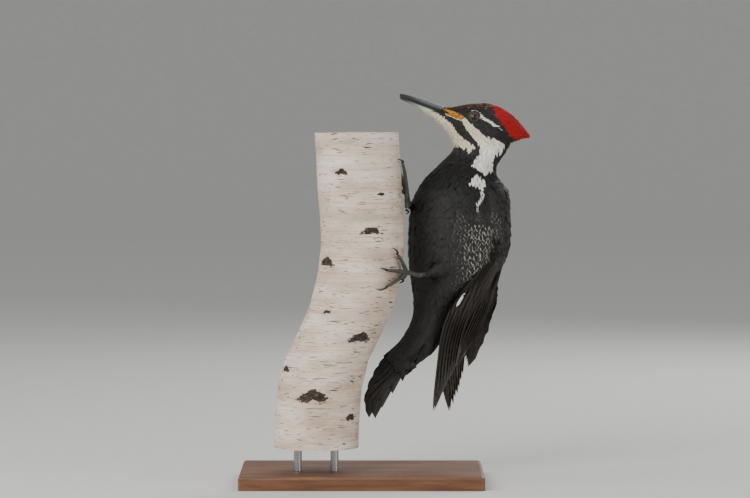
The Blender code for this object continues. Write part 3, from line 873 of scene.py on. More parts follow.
class Fold:
    """The outer face of a folded wing: places by height and by distance from its lower edge."""

    def __init__(self, node):
        bm = merged(node)
        bmesh.ops.triangulate(bm, faces=bm.faces)
        bm.normal_update()
        low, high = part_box(node)
        self.heights = np.linspace(low.z + 0.4 * MM, high.z - 0.6 * MM, FOLD_LEVELS)
        self.rows = []
        for height in self.heights:
            x, y = middle_at(height / MM)
            middle = Vector((x * MM, y * MM, height))
            found = []
            for face in bm.faces:
                if face.normal.dot(face.calc_center_median() - middle) < 0:
                    continue
                for edge in face.edges:
                    a, b = (vert.co for vert in edge.verts)
                    if (a.z > height) != (b.z > height):
                        found.append(a.lerp(b, (height - a.z) / (b.z - a.z)))
            found = np.array([tuple(place) for place in found])
            chain = found[np.argsort(at_side(found)[2])]
            lengths = np.cumsum(np.linalg.norm(np.diff(chain, axis=0), axis=1))
            self.rows.append((np.append(0, lengths) + 1e-9, chain))
        bm.free()
        widths = np.pad([lengths[-1] for lengths, _ in self.rows], 2, mode="edge")
        self.widths = np.convolve(widths, np.ones(5) / 5, mode="valid")

    def width(self, height):
        return np.interp(height, self.heights, self.widths)

    def place(self, height, offset):
        """The place at a height, so far from the lower edge."""
        share = np.interp(height, self.heights, np.arange(len(self.heights)))
        first = min(int(share), len(self.heights) - 2)
        below, above = (np.array([np.interp(offset, lengths, side) for side in chain.T])
                        for lengths, chain in self.rows[first:first + 2])
        return below * (1 - share + first) + above * (share - first)

    def lowest(self, offset):
        """The lowest height at which the wing is at least so wide."""
        return self.heights[np.argmax(self.widths >= offset)]


def side_normals(lines, outward):
    """Normals across each line, on the side that faces outward."""
    ahead = unit(np.gradient(lines, axis=1))
    return unit(outward - ahead * (outward * ahead).sum(2, keepdims=True))


def wing_normals(lines, lean):
    """Normals out of the body, each turned a little about its own line so that the feathers overlap."""
    x, y = middle_at(lines[:, :, 2] / MM)
    normals = side_normals(lines, lines - np.stack((x * MM, y * MM, lines[:, :, 2]), axis=2))
    return normals + unit(np.cross(np.gradient(lines, axis=1), normals)) * lean


PRIMARIES, SECONDARIES, TERTIALS = 8, 8, 3
WING_PLACES = 16  # places along each flight feather's line
WING_ROOT = 156  # how far above the wing's lowest place the first one starts


def feather_end(number, fold):
    """A flight feather's end: its height, its share of the wing's width, and the vane's half width."""
    bottom = fold.heights[0]
    if number < PRIMARIES:
        tip = (1.6 + 3.0 * number) * MM
        end = fold.lowest(tip + 1.3 * MM)
        return end, tip / fold.width(end), 4.0 + 0.15 * number
    number -= PRIMARIES
    if number < SECONDARIES:
        return bottom + (62 - 2.6 * number) * MM, 0.46 + 0.45 * number / (SECONDARIES - 1), 5.4
    end = bottom + (72 + 20 * (number - SECONDARIES)) * MM
    return end, 1 - 5 * MM / fold.width(end), 7.0


def folded_wing(fold, lean):
    """Primaries, secondaries and tertials, each over the one below it."""
    total = PRIMARIES + SECONDARIES + TERTIALS
    vanes = []
    for number in range(total):
        share = 0.97 * (number + 0.5) / total
        start = fold.heights[0] + (WING_ROOT + 1.4 * number) * MM
        end, end_share, half_width = feather_end(number, fold)
        line = []
        for t in np.linspace(0, 1, WING_PLACES):
            height = start + (end - start) * t
            if number < PRIMARIES:
                bend = t * t * (3 - 2 * t)
                offset = share * fold.width(height) * (1 - bend) + end_share * fold.width(end) * bend
            else:
                offset = (share + (end_share - share) * min(1, 1.8 * t)) * fold.width(height)
            line.append(fold.place(height, offset))
        depth = 2.1 - 0.055 * number
        vanes.append((line, half_width, (-depth - 0.5, -depth + 1.1)))
    lines, half_widths, lifts = (np.array(column) for column in zip(*vanes))
    tints = BROWN_BLACK * RANDOM.normal(1, 0.12, (total, 1))
    return grow(WING_BLADE, lines, wing_normals(lines, 0.13 * lean), half_widths, 0.45, lifts, tints,
                loose_layout(total, 3), 0.06)


COVERT_ROWS = 11
LOWEST_ROW = 112  # above the wing's lowest place
COVERT_STEP = 4.4  # from one covert to the next in a row
WHITE_PATCH = ((187, 0.6), (184, 2.0), (183, 1.2))  # its feathers' heights and distances from the lower edge


def coverts(fold, lean):
    """Rows of smaller feathers over the flight feathers' roots, longer in the lower rows."""
    vanes = []
    for row in range(COVERT_ROWS):
        offset = 1.5 + COVERT_STEP / 2 * (row % 2)
        level = fold.heights[0] + (LOWEST_ROW + 6.5 * row) * MM
        tone = blend(BROWN_BLACK, BLACK, row / (COVERT_ROWS - 1))
        sunk = 0.2 * max(0, row - 4)
        while offset * MM < fold.width(level) - MM:
            height = level + RANDOM.uniform(-2.5, 2.5) * MM
            long = RANDOM.uniform(0.9, 1.1) * (21 - 0.9 * row) * MM
            share = offset * MM / fold.width(height)
            line = [fold.place(lower, share * fold.width(lower))
                    for lower in height - long * np.linspace(0, 1, 5)]
            vanes.append((line, RANDOM.uniform(2.9, 3.5), (-1.2 - sunk, 0.1 - sunk),
                          tone * RANDOM.normal(0.9, 0.1)))
            offset += COVERT_STEP
    for height, offset in WHITE_PATCH:
        line = [fold.place((height - 2.4 * step) * MM, offset * MM) for step in range(5)]
        vanes.append((line, 1.5, (-0.4, 0.9), WHITE))
    lines, half_widths, lifts, tints = (np.array(column) for column in zip(*vanes))
    return grow(COVERT, lines, wing_normals(lines, 0.08 * lean), half_widths, 0.4, lifts, tints,
                loose_layout(len(lines), 4), 0.04)


TAIL_TURN = math.radians(42)
TAIL_ASIDE = Vector((math.sin(TAIL_TURN), -math.cos(TAIL_TURN), 0))
TOWARD_PERCH = Vector((-math.cos(TAIL_TURN), -math.sin(TAIL_TURN), 0))
# The x and z of the tail's middle from its root to its tip, and the y of its root.
TAIL_LINE = ((71, 173), (66, 153), (55, 137), (38, 118), (20, 98), (7.5, 79), (2.5, 61))
TAIL_ROOT_Y = 41.7
TAIL_FEATHERS = ((2.2, 146), (6.0, 135), (9.6, 118), (13.4, 103), (17.2, 91))  # angle from the middle, length
TAIL_START = 46  # length from the root at which the feathers begin
BARE_TAIL = 77  # length from the root at which the tail comes out of the body
TAIL_PLACES = 18
OUTSIDE = 60 * MM  # how far out the tail's face is looked for


def on_tail(tree, reach, angle, side):
    """A place on the tail's outer face, or in the body over it, by its length and angle from the root."""
    across, heights = np.array(TAIL_LINE).T
    lengths = np.append(0, np.cumsum(np.hypot(np.diff(across) / math.cos(TAIL_TURN), np.diff(heights))))
    x, z = (np.interp(reach * math.cos(angle), lengths, line) for line in (across, heights))
    y = TAIL_ROOT_Y + math.tan(TAIL_TURN) * (x - across[0])
    place = (Vector((x, y, z)) + TAIL_ASIDE * reach * math.sin(angle) * side) * MM
    if reach > BARE_TAIL:
        hit = tree.ray_cast(place - TOWARD_PERCH * OUTSIDE, TOWARD_PERCH)[0]
        if hit is not None:
            return hit
    return place - TOWARD_PERCH * max(0, 2.4 - 0.1 * (BARE_TAIL - reach)) * MM


def spread_tail():
    """Stiff pointed feathers in a fan, the middle pair over the rest, on the tail's own curve."""
    bm = merged("tail")
    tree = BVHTree.FromBMesh(bm)
    bm.free()
    vanes = []
    for number, (angle, length) in enumerate(TAIL_FEATHERS):
        own = math.radians(angle - (1.0 if number else 0.4))
        for side in (-1, 1):
            line = [tuple(on_tail(tree, reach, own, side))
                    for reach in np.linspace(TAIL_START, length - 1.5, TAIL_PLACES)]
            vanes.append((line, 7.2 - 0.35 * number,
                          (-1.0 - 0.3 * number, -0.35 - 0.22 * number + 0.05 * side)))
    lines, half_widths, lifts = (np.array(column) for column in zip(*vanes))
    for _ in range(3):
        lines[:, 1:-1] = (lines[:, :-2] + 2 * lines[:, 1:-1] + lines[:, 2:]) / 4
    normals = side_normals(lines, -np.array(TOWARD_PERCH))
    tints = BLACK * RANDOM.normal(1, 0.12, (len(lines), 1))
    return grow(TAIL_BLADE, lines, normals, half_widths, 0.7, lifts, tints, loose_layout(len(lines), 5), 0.05)


def flight_feathers():
    finish = plumage("flight feathers", roughness=0.5, barbs_along=90, barb_depth=0.1, shaft=0.16)
    for node, lean in (("wing_left", -1), ("wing_right", 1)):
        fold = Fold(node)
        show(node + "_feathers", folded_wing(fold, lean), finish, "flight_feathers", node)
        show(node + "_coverts", coverts(fold, lean), finish, "flight_feathers")
    show("tail_feathers", spread_tail(), finish, "flight_feathers", "tail")


# ---------------------------------------------------------------- the bird's finishes

def plumage(name, roughness=0.55, barb_depth=0.12, barbs_along=26, shaft=0.0):
    """Feathers: each one's tint, its barbs, a darker root and, where the tips are pale, a fringe."""
    finish = Finish(name, Specular_IOR_Level=0.35)
    across, along, _ = finish.parts(finish.node("ShaderNodeUVMap", {"uv_map": "vane"}))
    off_shaft = (across * 2 - 1).math("ABSOLUTE")
    barbs = (along * barbs_along - off_shaft * 9).waves()
    mottle = finish.noise(240, detail=3)
    shade = (0.80 + barbs * 0.16 + mottle * 0.24) * along.spread(0.0, 0.5, 0.62, 1.0)
    outline = (((along ** 1.6) * math.pi).math("SINE") + 0.02) ** 0.5
    edge = (outline - off_shaft).spread(0.44, 0.3) * along.spread(0.64, 0.74)
    fringe = edge * finish.attribute("fringe", "Fac") * finish.noise(260).spread(0.36, 0.5)
    worn = finish.mix(fringe, finish.tinted(shade), PALE_TIP)
    if shaft:
        worn = finish.mix(off_shaft.spread(0.05, 0.12, shaft, 0.0), worn, SHAFT)
    finish.set(Base_Color=worn, Roughness=roughness + barbs * 0.12)
    return finish.bump(barbs * 0.5 + mottle, barb_depth, 0.6)


def down():
    """The plumage's base, seen only between the feathers."""
    finish = Finish("down", Specular_IOR_Level=0.2)
    mottle = finish.noise(420, detail=5)
    finish.set(Base_Color=finish.tinted(0.5 + mottle * 0.5), Roughness=0.75 + mottle * 0.2)
    return finish.bump(mottle, 0.3)


def horn(name, streak=0.35):
    """Bill and claw horn: the tint at each vertex, with fine streaks along the bill and a soft gloss."""
    finish = Finish(name, Specular_IOR_Level=0.35)
    streaks = finish.grain((16, 0.5, 0.5), detail=5, turn=(0, BILL_TILT, 0))
    wear = finish.noise(160, detail=5)
    shade = 1 - streak + streaks * streak + wear * streak
    finish.set(Base_Color=finish.tinted(shade), Roughness=(wear + streaks).spread(0.7, 1.3, 0.42, 0.62))
    return finish.bump(streaks + wear * 0.4, 0.08, 0.5)


def wet_eye():
    """A black pupil in a narrow tawny ring, under a clear wet coat."""
    finish = Finish("eye", Coat_Roughness=0.02, Specular_IOR_Level=0.2)
    x, _, z = finish.away(HEAD_MIDDLE)
    out = (x * x + z * z) ** 0.5 / EYE_RADIUS
    rays = finish.grain((0.9, 4, 0.9), detail=3)
    ring = (out + (rays - 0.5) * 0.03).ramp((0.60, 6, 6, 8), (0.645, 70, 38, 28), (0.70, 132, 84, 64),
                                            (0.78, 106, 64, 50), (0.82, 22, 18, 17))
    return finish.set(Base_Color=ring, Roughness=0.25 + rays * 0.1, Coat_Weight=0.6)


def folded_lid():
    finish = Finish("lid skin", Specular_IOR_Level=0.4)
    folds_and_highlight = finish.noise(900)
    # Dark lid skin, with a painted highlight: it turns lighter olive where the folds rise.
    finish.set(Base_Color=folds_and_highlight.ramp((0.3, 24, 25, 24), (0.7, 62, 64, 58)), Roughness=0.45 + folds_and_highlight * 0.2)
    return finish.bump(folds_and_highlight, 0.25)


def scaly():
    """Bare legs and toes: small plates with darker seams between them."""
    finish = Finish("scaly skin", Specular_IOR_Level=0.4)
    plates = finish.node("ShaderNodeTexVoronoi", {"feature": "DISTANCE_TO_EDGE"}, Vector=finish.place,
                         Scale=780)
    dust = finish.noise(350)
    seam = plates.spread(0.0, 0.16)
    plate = finish.mix(dust, colour(66, 66, 62), colour(104, 104, 96))
    finish.set(Base_Color=finish.mix(seam, colour(40, 39, 36), plate), Roughness=0.75 - seam * 0.25)
    return finish.bump(seam + dust * 0.3, 0.22)


# ---------------------------------------------------------------- the perch's and stand's finishes

def birch():
    """Papery cream bark, with rust-brown dashes round it, grey bloom and rough black scars."""
    finish = Finish("birch bark", Specular_IOR_Level=0.25)
    bloom = finish.grain((50, 50, 20), detail=5)
    papery = bloom.ramp((0.3, 178, 160, 142), (0.5, 214, 198, 180), (0.7, 232, 222, 208))
    layers = finish.grain((60, 60, 1.6), detail=5)
    papery = finish.mix(layers.spread(0.5, 0.66) * 0.65, papery, colour(196, 146, 116))
    dash = finish.grain((11, 11, 1.1), detail=1.5)
    thin = finish.grain((30, 30, 7), detail=2)
    dashes = dash.spread(0.63, 0.68) * thin.spread(0.36, 0.48)
    marked = finish.mix(dashes * 0.95, papery, colour(84, 52, 40))
    crust = finish.grain((4, 4, 2.8), detail=7)
    scarred = (finish.attribute("scar", "Fac") + (crust - 0.5) * 1.3).spread(0.4, 0.56)
    charred = crust.ramp((0.35, 34, 29, 26), (0.6, 74, 62, 54), (0.75, 120, 104, 92))
    finish.set(Base_Color=finish.mix(scarred, marked, charred), Roughness=0.62 + scarred * 0.3)
    return finish.bump(layers * 0.3 + dashes * 0.35 + scarred * crust * 2.2, 0.9, 0.8)


def cut_wood(name, pith):
    """End grain: yearly rings about the pith, with fine rays."""
    finish = Finish(name, Specular_IOR_Level=0.3)
    x, y, _ = finish.away(pith)
    out = (x * x + y * y) ** 0.5
    rings = (out / (2.1 * MM) + finish.noise(45) * 3).waves()
    rays = finish.noise(700, detail=5)
    tone = finish.mix(rings * 0.6 + rays * 0.3, colour(222, 196, 160), colour(176, 138, 100))
    return finish.set(Base_Color=tone, Roughness=0.65 + rays * 0.2).bump(rings + rays, 0.12)


def oiled_wood():
    finish = Finish("stand wood", Specular_IOR_Level=0.45)
    figure = finish.grain((110, 9, 9), detail=6, distortion=0.6)
    tone = figure.ramp((0.3, 74, 46, 30), (0.5, 108, 70, 46), (0.7, 134, 92, 62))
    pores = finish.grain((12, 0.7, 0.7), detail=3).spread(0.58, 0.7) * 0.55
    finish.set(Base_Color=finish.mix(pores, tone, colour(52, 32, 22)),
               Roughness=0.36 + figure * 0.16 + pores * 0.3)
    return finish.bump(1 - pores, 0.12, 0.6)


def brushed_steel():
    finish = Finish("stand steel", Metallic=1.0)
    lines = finish.grain((20, 20, 0.3), detail=3)
    finish.set(Base_Color=finish.mix(lines, colour(150, 152, 155), colour(190, 192, 195)),
               Roughness=0.26 + lines * 0.16)
    return finish.bump(lines, 0.03, 0.4)


# ---------------------------------------------------------------- studio

FLAT_FLOOR = 6.0  # how far out the floor is flat, before it curves up
FLOOR_CURVE = 5.0
LAMPS = (("key", (-0.9, -1.6, 1.3), 1.2, 34), ("fill", (1.5, -1.1, 0.5), 1.3, 12),
         ("rim", (0.9, 1.5, 1.3), 1.0, 20), ("side", (-1.5, -0.5, 1.0), 0.9, 10))  # place, size and watts


def studio():
    """A pale floor that curves up far away, under a soft sky and four soft lamps."""
    bm = bmesh.new()
    section = [(0.0, 0.0), (2.5, 0.0), (FLAT_FLOOR, 0.0)]
    section += [(FLAT_FLOOR + FLOOR_CURVE * math.sin(turn), FLOOR_CURVE * (1 - math.cos(turn)))
                for turn in np.radians(np.arange(6, 91, 6)).tolist()]
    line = [bm.verts.new((x, 0, z)) for x, z in section]
    edges = [bm.edges.new(pair) for pair in zip(line, line[1:])]
    bmesh.ops.spin(bm, geom=line + edges, axis=(0, 0, 1), cent=(0, 0, 0), steps=72, angle=2 * math.pi,
                   use_merge=True)
    bmesh.ops.remove_doubles(bm, verts=bm.verts, dist=1e-4)
    bmesh.ops.recalc_face_normals(bm, faces=bm.faces)
    if sum(face.normal.z for face in bm.faces) < 0:
        bmesh.ops.reverse_faces(bm, faces=bm.faces)
    floor = in_scene("floor", to_mesh(bm))
    paper = Finish("paper", Roughness=0.8, Specular_IOR_Level=0.1)
    paper.set(Base_Color=paper.noise(60).ramp((0.3, 206, 205, 202), (0.7, 211, 210, 207)))
    floor.data.materials.append(paper.material)
    world = bpy.data.worlds.new("studio")
    world.use_nodes = True
    sky = world.node_tree.nodes["Background"]
    sky.inputs["Color"].default_value = (0.80, 0.81, 0.82, 1)
    sky.inputs["Strength"].default_value = 0.62
    bpy.context.scene.world = world
    middle = (CAD_LOW + CAD_HIGH) / 2
    for name, place, size, watts in LAMPS:
        lamp = bpy.data.lights.new(name, "AREA")
        lamp.size = size
        lamp.energy = watts
        made = in_scene(name, lamp)
        made.location = Vector(place)
        made.rotation_euler = (middle - made.location).to_track_quat("-Z", "Y").to_euler()


SENSOR_WIDTH = 36
CAMERA_DISTANCE = 4.0
CAMERA_RISE = math.radians(2.5)
VIEW_WIDTH = 0.75  # metres across the frame at the bird
VIEW_MIDDLE = (CAD_LOW + CAD_HIGH) / 2 + Vector((-11.1, 40.7, 37.1)) * MM


def camera():
    lens = bpy.data.cameras.new("camera")
    lens.sensor_width = SENSOR_WIDTH
    lens.lens = SENSOR_WIDTH * CAMERA_DISTANCE / VIEW_WIDTH
    made = in_scene("camera", lens)
    back = Vector((0, -math.cos(CAMERA_RISE), math.sin(CAMERA_RISE)))
    made.location = VIEW_MIDDLE + back * CAMERA_DISTANCE
    made.rotation_euler = (math.radians(90) - CAMERA_RISE, 0, 0)
    bpy.context.scene.camera = made


# ---------------------------------------------------------------- bill and eyes

ROOT_EDGE = 0.6  # what lies so near to the bill's rear edge is run back under the face's feathers
HIDDEN_ROOT = 4.5 * MM
MOUTH = -6.5  # where the halves of the bill meet, above the eyes in the head's frame
MOUTH_EDGE = 0.8  # what lies so near to the mouth is drawn in from it
MOUTH_GAP = 0.45 * MM
HORN_DEPTH = 0.4


def bill_tints(half, forward, up):
    """Slate above and paler below, with painted shade along the mouth on both halves and a dark tip."""
    tip = rising(forward, 52, 72)[:, None]
    if half == "upper":
        # Painted shade: the upper half darkens to near black over its lowest few millimetres above the mouth.
        edge = rising(up, -3.6, -5.2)[:, None]
        return blend(colour(88, 92, 94), colour(24, 24, 25), edge) * (1 - 0.62 * tip)
    # Painted shade: the lower half is dark along its upper edge by the mouth and pale below it.
    edge = rising(up, -9.0, -7.8)[:, None]
    return blend(blend(colour(176, 180, 160), colour(34, 34, 33), edge), colour(52, 54, 54), tip)


def bill():
    """Both halves, a hair apart at the mouth and run back under the face's feathers."""
    finish = horn("bill horn")
    for half, slot_name, way in (("upper", "bill_slate", -1), ("lower", "bill_pale", 1)):
        bm = merged("bill_" + half)
        forward, up = in_head([v.co for v in bm.verts])
        ahead_of_face = forward + FACE_SLANT * up
        for vert, height, ahead in zip(bm.verts, up, ahead_of_face - ahead_of_face.min()):
            if ahead < ROOT_EDGE:
                vert.co -= FORWARD * HIDDEN_ROOT
            if abs(height - MOUTH) < MOUTH_EDGE:
                vert.co += UPWARD * way * MOUTH_GAP
        bm = from_mesh(subdivided(bm, 38, levels=2))
        swell(bm, HORN_DEPTH)
        mesh = to_mesh(bm)
        paint(mesh, bill_tints(half, *in_head(coordinates(mesh))))
        show("bill_" + half + "_horn", mesh, finish, slot_name, "bill_" + half)


# A lid ring's section: radius and distance out from the eye's middle, in millimetres.
LID_SECTION = ((4.12, 2.86), (4.25, 3.2), (4.65, 3.36), (5.15, 3.0), (5.8, 2.3), (6.8, 1.3), (6.6, 0.3),
               (4.8, 1.4))


def eyes():
    """Glossy eyes in rings of bare, finely folded lid."""
    glass, lid = wet_eye(), folded_lid()
    for side, middle, outward in (("left", EYES[0], -1), ("right", EYES[1], 1)):
        bm = bmesh.new()
        bmesh.ops.create_uvsphere(bm, u_segments=40, v_segments=28, radius=EYE_RADIUS)
        bmesh.ops.rotate(bm, verts=bm.verts, matrix=Matrix.Rotation(math.radians(90), 3, "X"))
        bmesh.ops.translate(bm, verts=bm.verts, vec=middle)
        show("eyeball_" + side, to_mesh(bm), glass, "eye_glass", "eye_" + side)
        bm = bmesh.new()
        ring = [bm.verts.new((radius * MM, outward * out * MM, 0)) for radius, out in LID_SECTION]
        edges = [bm.edges.new(pair) for pair in zip(ring, ring[1:] + ring[:1])]
        bmesh.ops.spin(bm, geom=ring + edges, axis=(0, 1, 0), cent=(0, 0, 0), steps=48, angle=2 * math.pi,
                       use_merge=True)
        for vert in bm.verts:
            wave = noise.noise(Vector(vert.co) / MM * 1.3 + middle)
            vert.co += vert.co.normalized() * wave * 0.16 * MM
        bmesh.ops.recalc_face_normals(bm, faces=bm.faces)
        bmesh.ops.translate(bm, verts=bm.verts, vec=middle)
        show("lid_" + side, to_mesh(bm), lid, "plumage_black")


# ---------------------------------------------------------------- bristles

BRISTLES = 520
# The height of the nostril tufts' middle, and how far they spread from it, by millimetres forward.
BRISTLE_HEIGHT = ((10, -4.3), (14, -4.0), (25, -3.1), (33, -3.4))
BRISTLE_SPREAD = ((10, 0.6), (14, 1.25), (24, 0.9), (28, 0.35))


def straight(place, way, length, normal):
    """A straight line of five places, so many millimetres long, with one normal."""
    step = way.normalized() * length * MM / 4
    return [tuple(place + step * number) for number in range(5)], [tuple(normal)] * 5


def tufts(hide, starts, headings, lengths, half_width, rise, lifts, tints, follow=0.0):
    """Fine straight tufts that leave the skin at their own headings, or follow it by a share."""
    lines, ups, layout = [], [], []
    for start, heading, length in zip(starts, headings, lengths):
        place, facing, triangle, _ = hide.tree.find_nearest(start)
        way = heading - facing * heading.dot(facing) * (1 - follow)
        line, up = straight(place, way, length, facing)
        lines.append(line)
        ups.append(up)
        layout.append(hide.layout[triangle].mean(0))
    lifts = np.array(lifts) * RANDOM.normal(1, 0.3, (len(lines), 1)).clip(0.3, 2)
    return grow(TUFT, lines, ups, half_width, rise, lifts, tints, np.array(layout))


def nostril_tufts(hide):
    """Golden tufts that lie forward over the nostrils. The further forward, the more of them are dark."""
    starts, headings, lengths, tints = [], [], [], []
    for _ in range(BRISTLES):
        side = RANDOM.choice((-1.0, 1.0))
        forward = RANDOM.uniform(9.5, 27)
        spread = RANDOM.normal(0, between(forward, BRISTLE_SPREAD) * 0.8)
        starts.append(head_place(forward, between(forward, BRISTLE_HEIGHT) + spread, side * 20))
        headings.append(FORWARD - UPWARD * 0.06 - LEFTWARD * side * 0.10)
        lengths.append(RANDOM.uniform(3.5, 7.0))
        tone = RANDOM.uniform(0.6, 1.1)
        if RANDOM.random() < 0.08 + 0.4 * (forward - 10) / 17:
            tone = RANDOM.uniform(0.06, 0.3)
        tints.append(GOLD * (tone, tone * RANDOM.uniform(0.8, 1.05), tone * 0.8))
    return tufts(hide, starts, headings, lengths, 0.42, 0.25, (-0.1, 1.1), np.clip(tints, 0, 1))


def rim_tufts(hide):
    """Short tufts over the rim of the bill's root, in the face's own colours."""
    forward, up = in_head(hide.middles)
    places, _, _ = hide.scatter(0.75 * MM, (forward + FACE_SLANT * up > 29) & (forward > 14))
    tints, _ = markings(places, 0.4)
    headings = [FORWARD - UPWARD * 0.05] * len(places)
    lengths = RANDOM.uniform(3.5, 6.0, len(places))
    return tufts(hide, [Vector(p) for p in places], headings, lengths, 0.45, 0.2, (-0.1, 0.7), tints, 0.4)


def bristles(hide):
    finish = plumage("bristles", barbs_along=4)
    show("bristles_nostril", nostril_tufts(hide), finish, "plumage_black")
    show("bristles_rim", rim_tufts(hide), finish, "plumage_black")


# ---------------------------------------------------------------- legs

FOOT_VOXEL = 0.42 * MM
SHANK_REACH = 5 * MM  # how far the shank is drawn into the thigh
LEG_FEATHER_REACH = 15 * MM


def leg_feathers(hide, heel, toward):
    """Loose feathers of the thigh that close in over the shank's end."""
    near_heel = np.linalg.norm(hide.middles - np.array(heel), axis=1) < LEG_FEATHER_REACH
    roots, normals, layout = hide.scatter(1.3 * MM, near_heel)
    lines, ups = [], []
    for root, normal in zip(roots, normals):
        root, normal = Vector(root), Vector(normal).normalized()
        aim = (heel + toward * RANDOM.uniform(5, 9) * MM - root).normalized()
        way = (aim * 0.75 + lie(root) * 0.25).normalized()
        way -= normal * way.dot(normal) * 0.75
        line, up = straight(root, way, RANDOM.uniform(7, 11), normal)
        lines.append(line)
        ups.append(up)
    tints = BLACK * RANDOM.normal(1, 0.15, (len(lines), 1))
    return grow(BROAD, lines, ups, 1.2, 0.3, (-0.3, 1.0), tints, layout)


def drawn_into(bm, heel, thigh):
    """Draws the shank's upper end into the thigh."""
    way = (thigh - heel).normalized() * SHANK_REACH
    for vert in bm.verts:
        near = max(0, 1 - (vert.co - heel).length / SHANK_REACH)
        vert.co += way * near ** 0.5


def scaled(bm):
    """The foot as one skin with small raised plates."""
    bm = melted(bm, FOOT_VOXEL)
    smooth(bm, 3)
    for vert in bm.verts:
        plate = noise.cell(vert.co / (1.7 * MM)) - 0.5
        vert.co += vert.normal * plate * 0.12 * MM
    smooth(bm, 1)
    return to_mesh(bm)


def legs(hide):
    """Scaly shanks and toes, horny claws, and the thighs' loose feathers over the heels."""
    skin, claw = scaly(), horn("claw horn", streak=0.2)
    loose = plumage("leg feathers", barbs_along=8)
    for side in ("left", "right"):
        bm = merged("foot_" + side)
        heel = max((vert.co for vert in bm.verts), key=lambda place: place.x).copy()
        drawn_into(bm, heel, centre("thigh_" + side))
        places = np.array([v.co for v in bm.verts])
        toe = Vector(places[places[:, 0].argmin()])
        toward = (toe * 0.3 + Vector(places.mean(0)) * 0.7 - heel).normalized()
        show("leg_feathers_" + side, leg_feathers(hide, heel, toward), loose, "plumage_black")
        show("scaly_foot_" + side, scaled(bm), skin, "leg_scales", "foot_" + side)
        for number in range(1, 5):
            node = f"claw_{side}_{number}"
            mesh = subdivided(merged(node), 60, levels=1)
            paint(mesh, CLAW)
            show(node + "_horn", mesh, claw, "claw_horn", node)


# ---------------------------------------------------------------- the perch

# Branch scars of the perch: degrees round from +X, height, half width and half height in millimetres.
SCARS = ((246, 309, 8, 3), (300, 287, 5, 1.6), (283, 252, 11, 3.5), (216, 221, 12, 4.5), (302, 148, 13, 5),
         (238, 172, 6, 1.8), (262, 92, 17, 6), (205, 116, 8, 3), (322, 70, 8, 3), (60, 285, 10, 4),
         (130, 196, 14, 5), (100, 92, 9, 3.5), (165, 306, 9, 3), (20, 232, 8, 2.5), (75, 150, 12, 4.5))
BARK_SIDES, BARK_RINGS = 168, 130
BARK_DEPTH = 2.6 * MM
RECESS = 9 * MM  # how far the bark's ends are hollowed out for the wood
WOOD_DEPTH = 8 * MM
WOOD_SUNK = 0.5 * MM


class Log:
    """The perch's own shape: its ends, its radius, and its middle at any height."""

    def __init__(self):
        low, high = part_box("perch_log")
        self.ends = (low.z, high.z)
        places = np.array([v.co for v in NODES["perch_log"].data.vertices])
        self.levels = np.unique(np.round(places[:, 2] / MM)) * MM
        rows = [places[abs(places[:, 2] - level) < 0.6 * MM] for level in self.levels]
        self.middles = np.array([(row.min(0) + row.max(0)) / 2 for row in rows])
        self.radius = (rows[-1][:, 0].max() - rows[-1][:, 0].min()) / 2

    def middle(self, height):
        x, y, _ = (np.interp(height, self.levels, side) for side in self.middles.T)
        return Vector((x, y, height))

    def scarring(self, place):
        """How far into a black branch scar a place is: eyes with drooping corners."""
        core = self.middle(place.z)
        deepest = 0.0
        for turn, level, half_width, half_height in SCARS:
            across = math.atan2(place.y - core.y, place.x - core.x) - math.radians(turn)
            arc = abs(math.remainder(across, 2 * math.pi)) * self.radius / MM
            rise = (place.z / MM - level + 0.3 * arc) / half_height
            deepest = max(deepest, 1.4 - math.hypot(arc / half_width, rise))
        return min(1.0, deepest)


def relief(place, scar):
    """How far the bark lies inside its outline."""
    swelling = noise.noise(place * 22) * 0.35 + noise.noise(place * 80) * 0.2
    crust = noise.fractal(place * 420, 0.9, 2.0, 4) * 0.5 * scar
    return (0.6 + swelling + crust) * MM


def extruded(bm, edges):
    """The new edges of an extruded loop, still in its place, and their vertices."""
    grown = bmesh.ops.extrude_edge_only(bm, edges=edges)["geom"]
    new = [part for part in grown if isinstance(part, bmesh.types.BMEdge)]
    return new, list({vert for edge in new for vert in edge.verts})


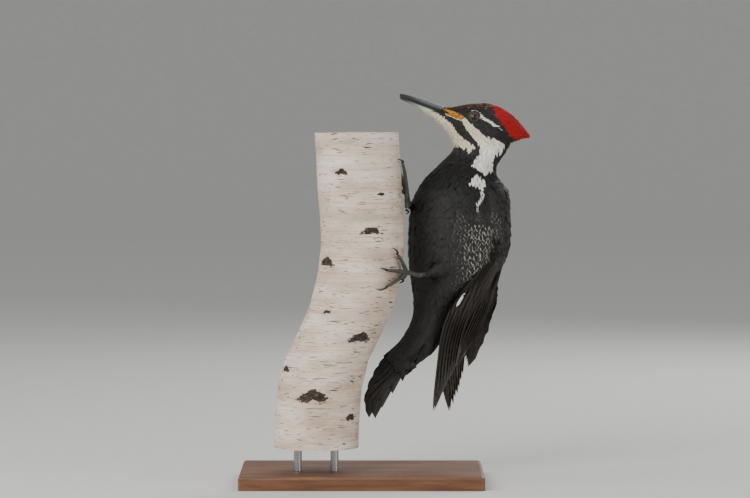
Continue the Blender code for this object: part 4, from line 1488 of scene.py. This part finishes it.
def bark(log):
    """A rough closed shell of bark, hollowed at both ends."""
    low, high = log.ends
    bm = bmesh.new()
    circle = bmesh.ops.create_circle(bm, segments=BARK_SIDES, radius=log.radius)["verts"]
    bmesh.ops.translate(bm, verts=circle, vec=log.middle(low))
    loop = list(bm.edges)
    heights = np.linspace(low, high, BARK_RINGS)
    for last, height in zip(heights, heights[1:]):
        loop, verts = extruded(bm, loop)
        bmesh.ops.translate(bm, verts=verts, vec=log.middle(height) - log.middle(last))
    scar_layer = bm.verts.layers.float.new("scar")
    for vert in bm.verts:
        core = log.middle(vert.co.z)
        out = vert.co - core
        vert[scar_layer] = log.scarring(vert.co)
        vert.co = core + out.normalized() * (out.length - relief(vert.co, vert[scar_layer]))
    for end, way in ((low, 1), (high, -1)):
        rim = [edge for edge in bm.edges if edge.is_boundary and abs(edge.verts[0].co.z - end) < MM]
        for depth in (0, RECESS):
            rim, verts = extruded(bm, rim)
            for vert in verts:
                core = log.middle(vert.co.z)
                inward = (vert.co - core).normalized() * (log.radius - BARK_DEPTH)
                vert.co = core + inward + Vector((0, 0, way * depth))
        bmesh.ops.holes_fill(bm, edges=rim)
    bmesh.ops.recalc_face_normals(bm, faces=bm.faces)
    return to_mesh(bm, sharp=50)


def cut_end(log, height, way):
    """A disc of pale wood just inside an end of the bark."""
    bm = bmesh.new()
    radius = log.radius - BARK_DEPTH
    bmesh.ops.create_cone(bm, cap_ends=True, segments=96, radius1=radius, radius2=radius, depth=WOOD_DEPTH)
    sunk = Vector((0, 0, way * (WOOD_DEPTH / 2 + WOOD_SUNK)))
    bmesh.ops.translate(bm, verts=bm.verts, vec=log.middle(height) + sunk)
    return to_mesh(bm, sharp=40)


def perch():
    """A cut length of birch: thin rough bark round pale wood."""
    log = Log()
    low, high = log.ends
    show("birch_bark", bark(log), birch(), "birch", "perch_log")
    for end, height, way in (("top", high, -1), ("bottom", low, 1)):
        wood = cut_wood("cut wood " + end, log.middle(height))
        show("cut_wood_" + end, cut_end(log, height, way), wood, "birch")


def stand():
    NODES["stand_base"].material_slots[0].material = oiled_wood().material
    steel = brushed_steel().material
    for node in ("stand_rod_1", "stand_rod_2"):
        NODES[node].material_slots[0].material = steel


camera()
studio()
hide = plumes()
flight_feathers()
bill()
eyes()
bristles(hide)
legs(hide)
perch()
stand()
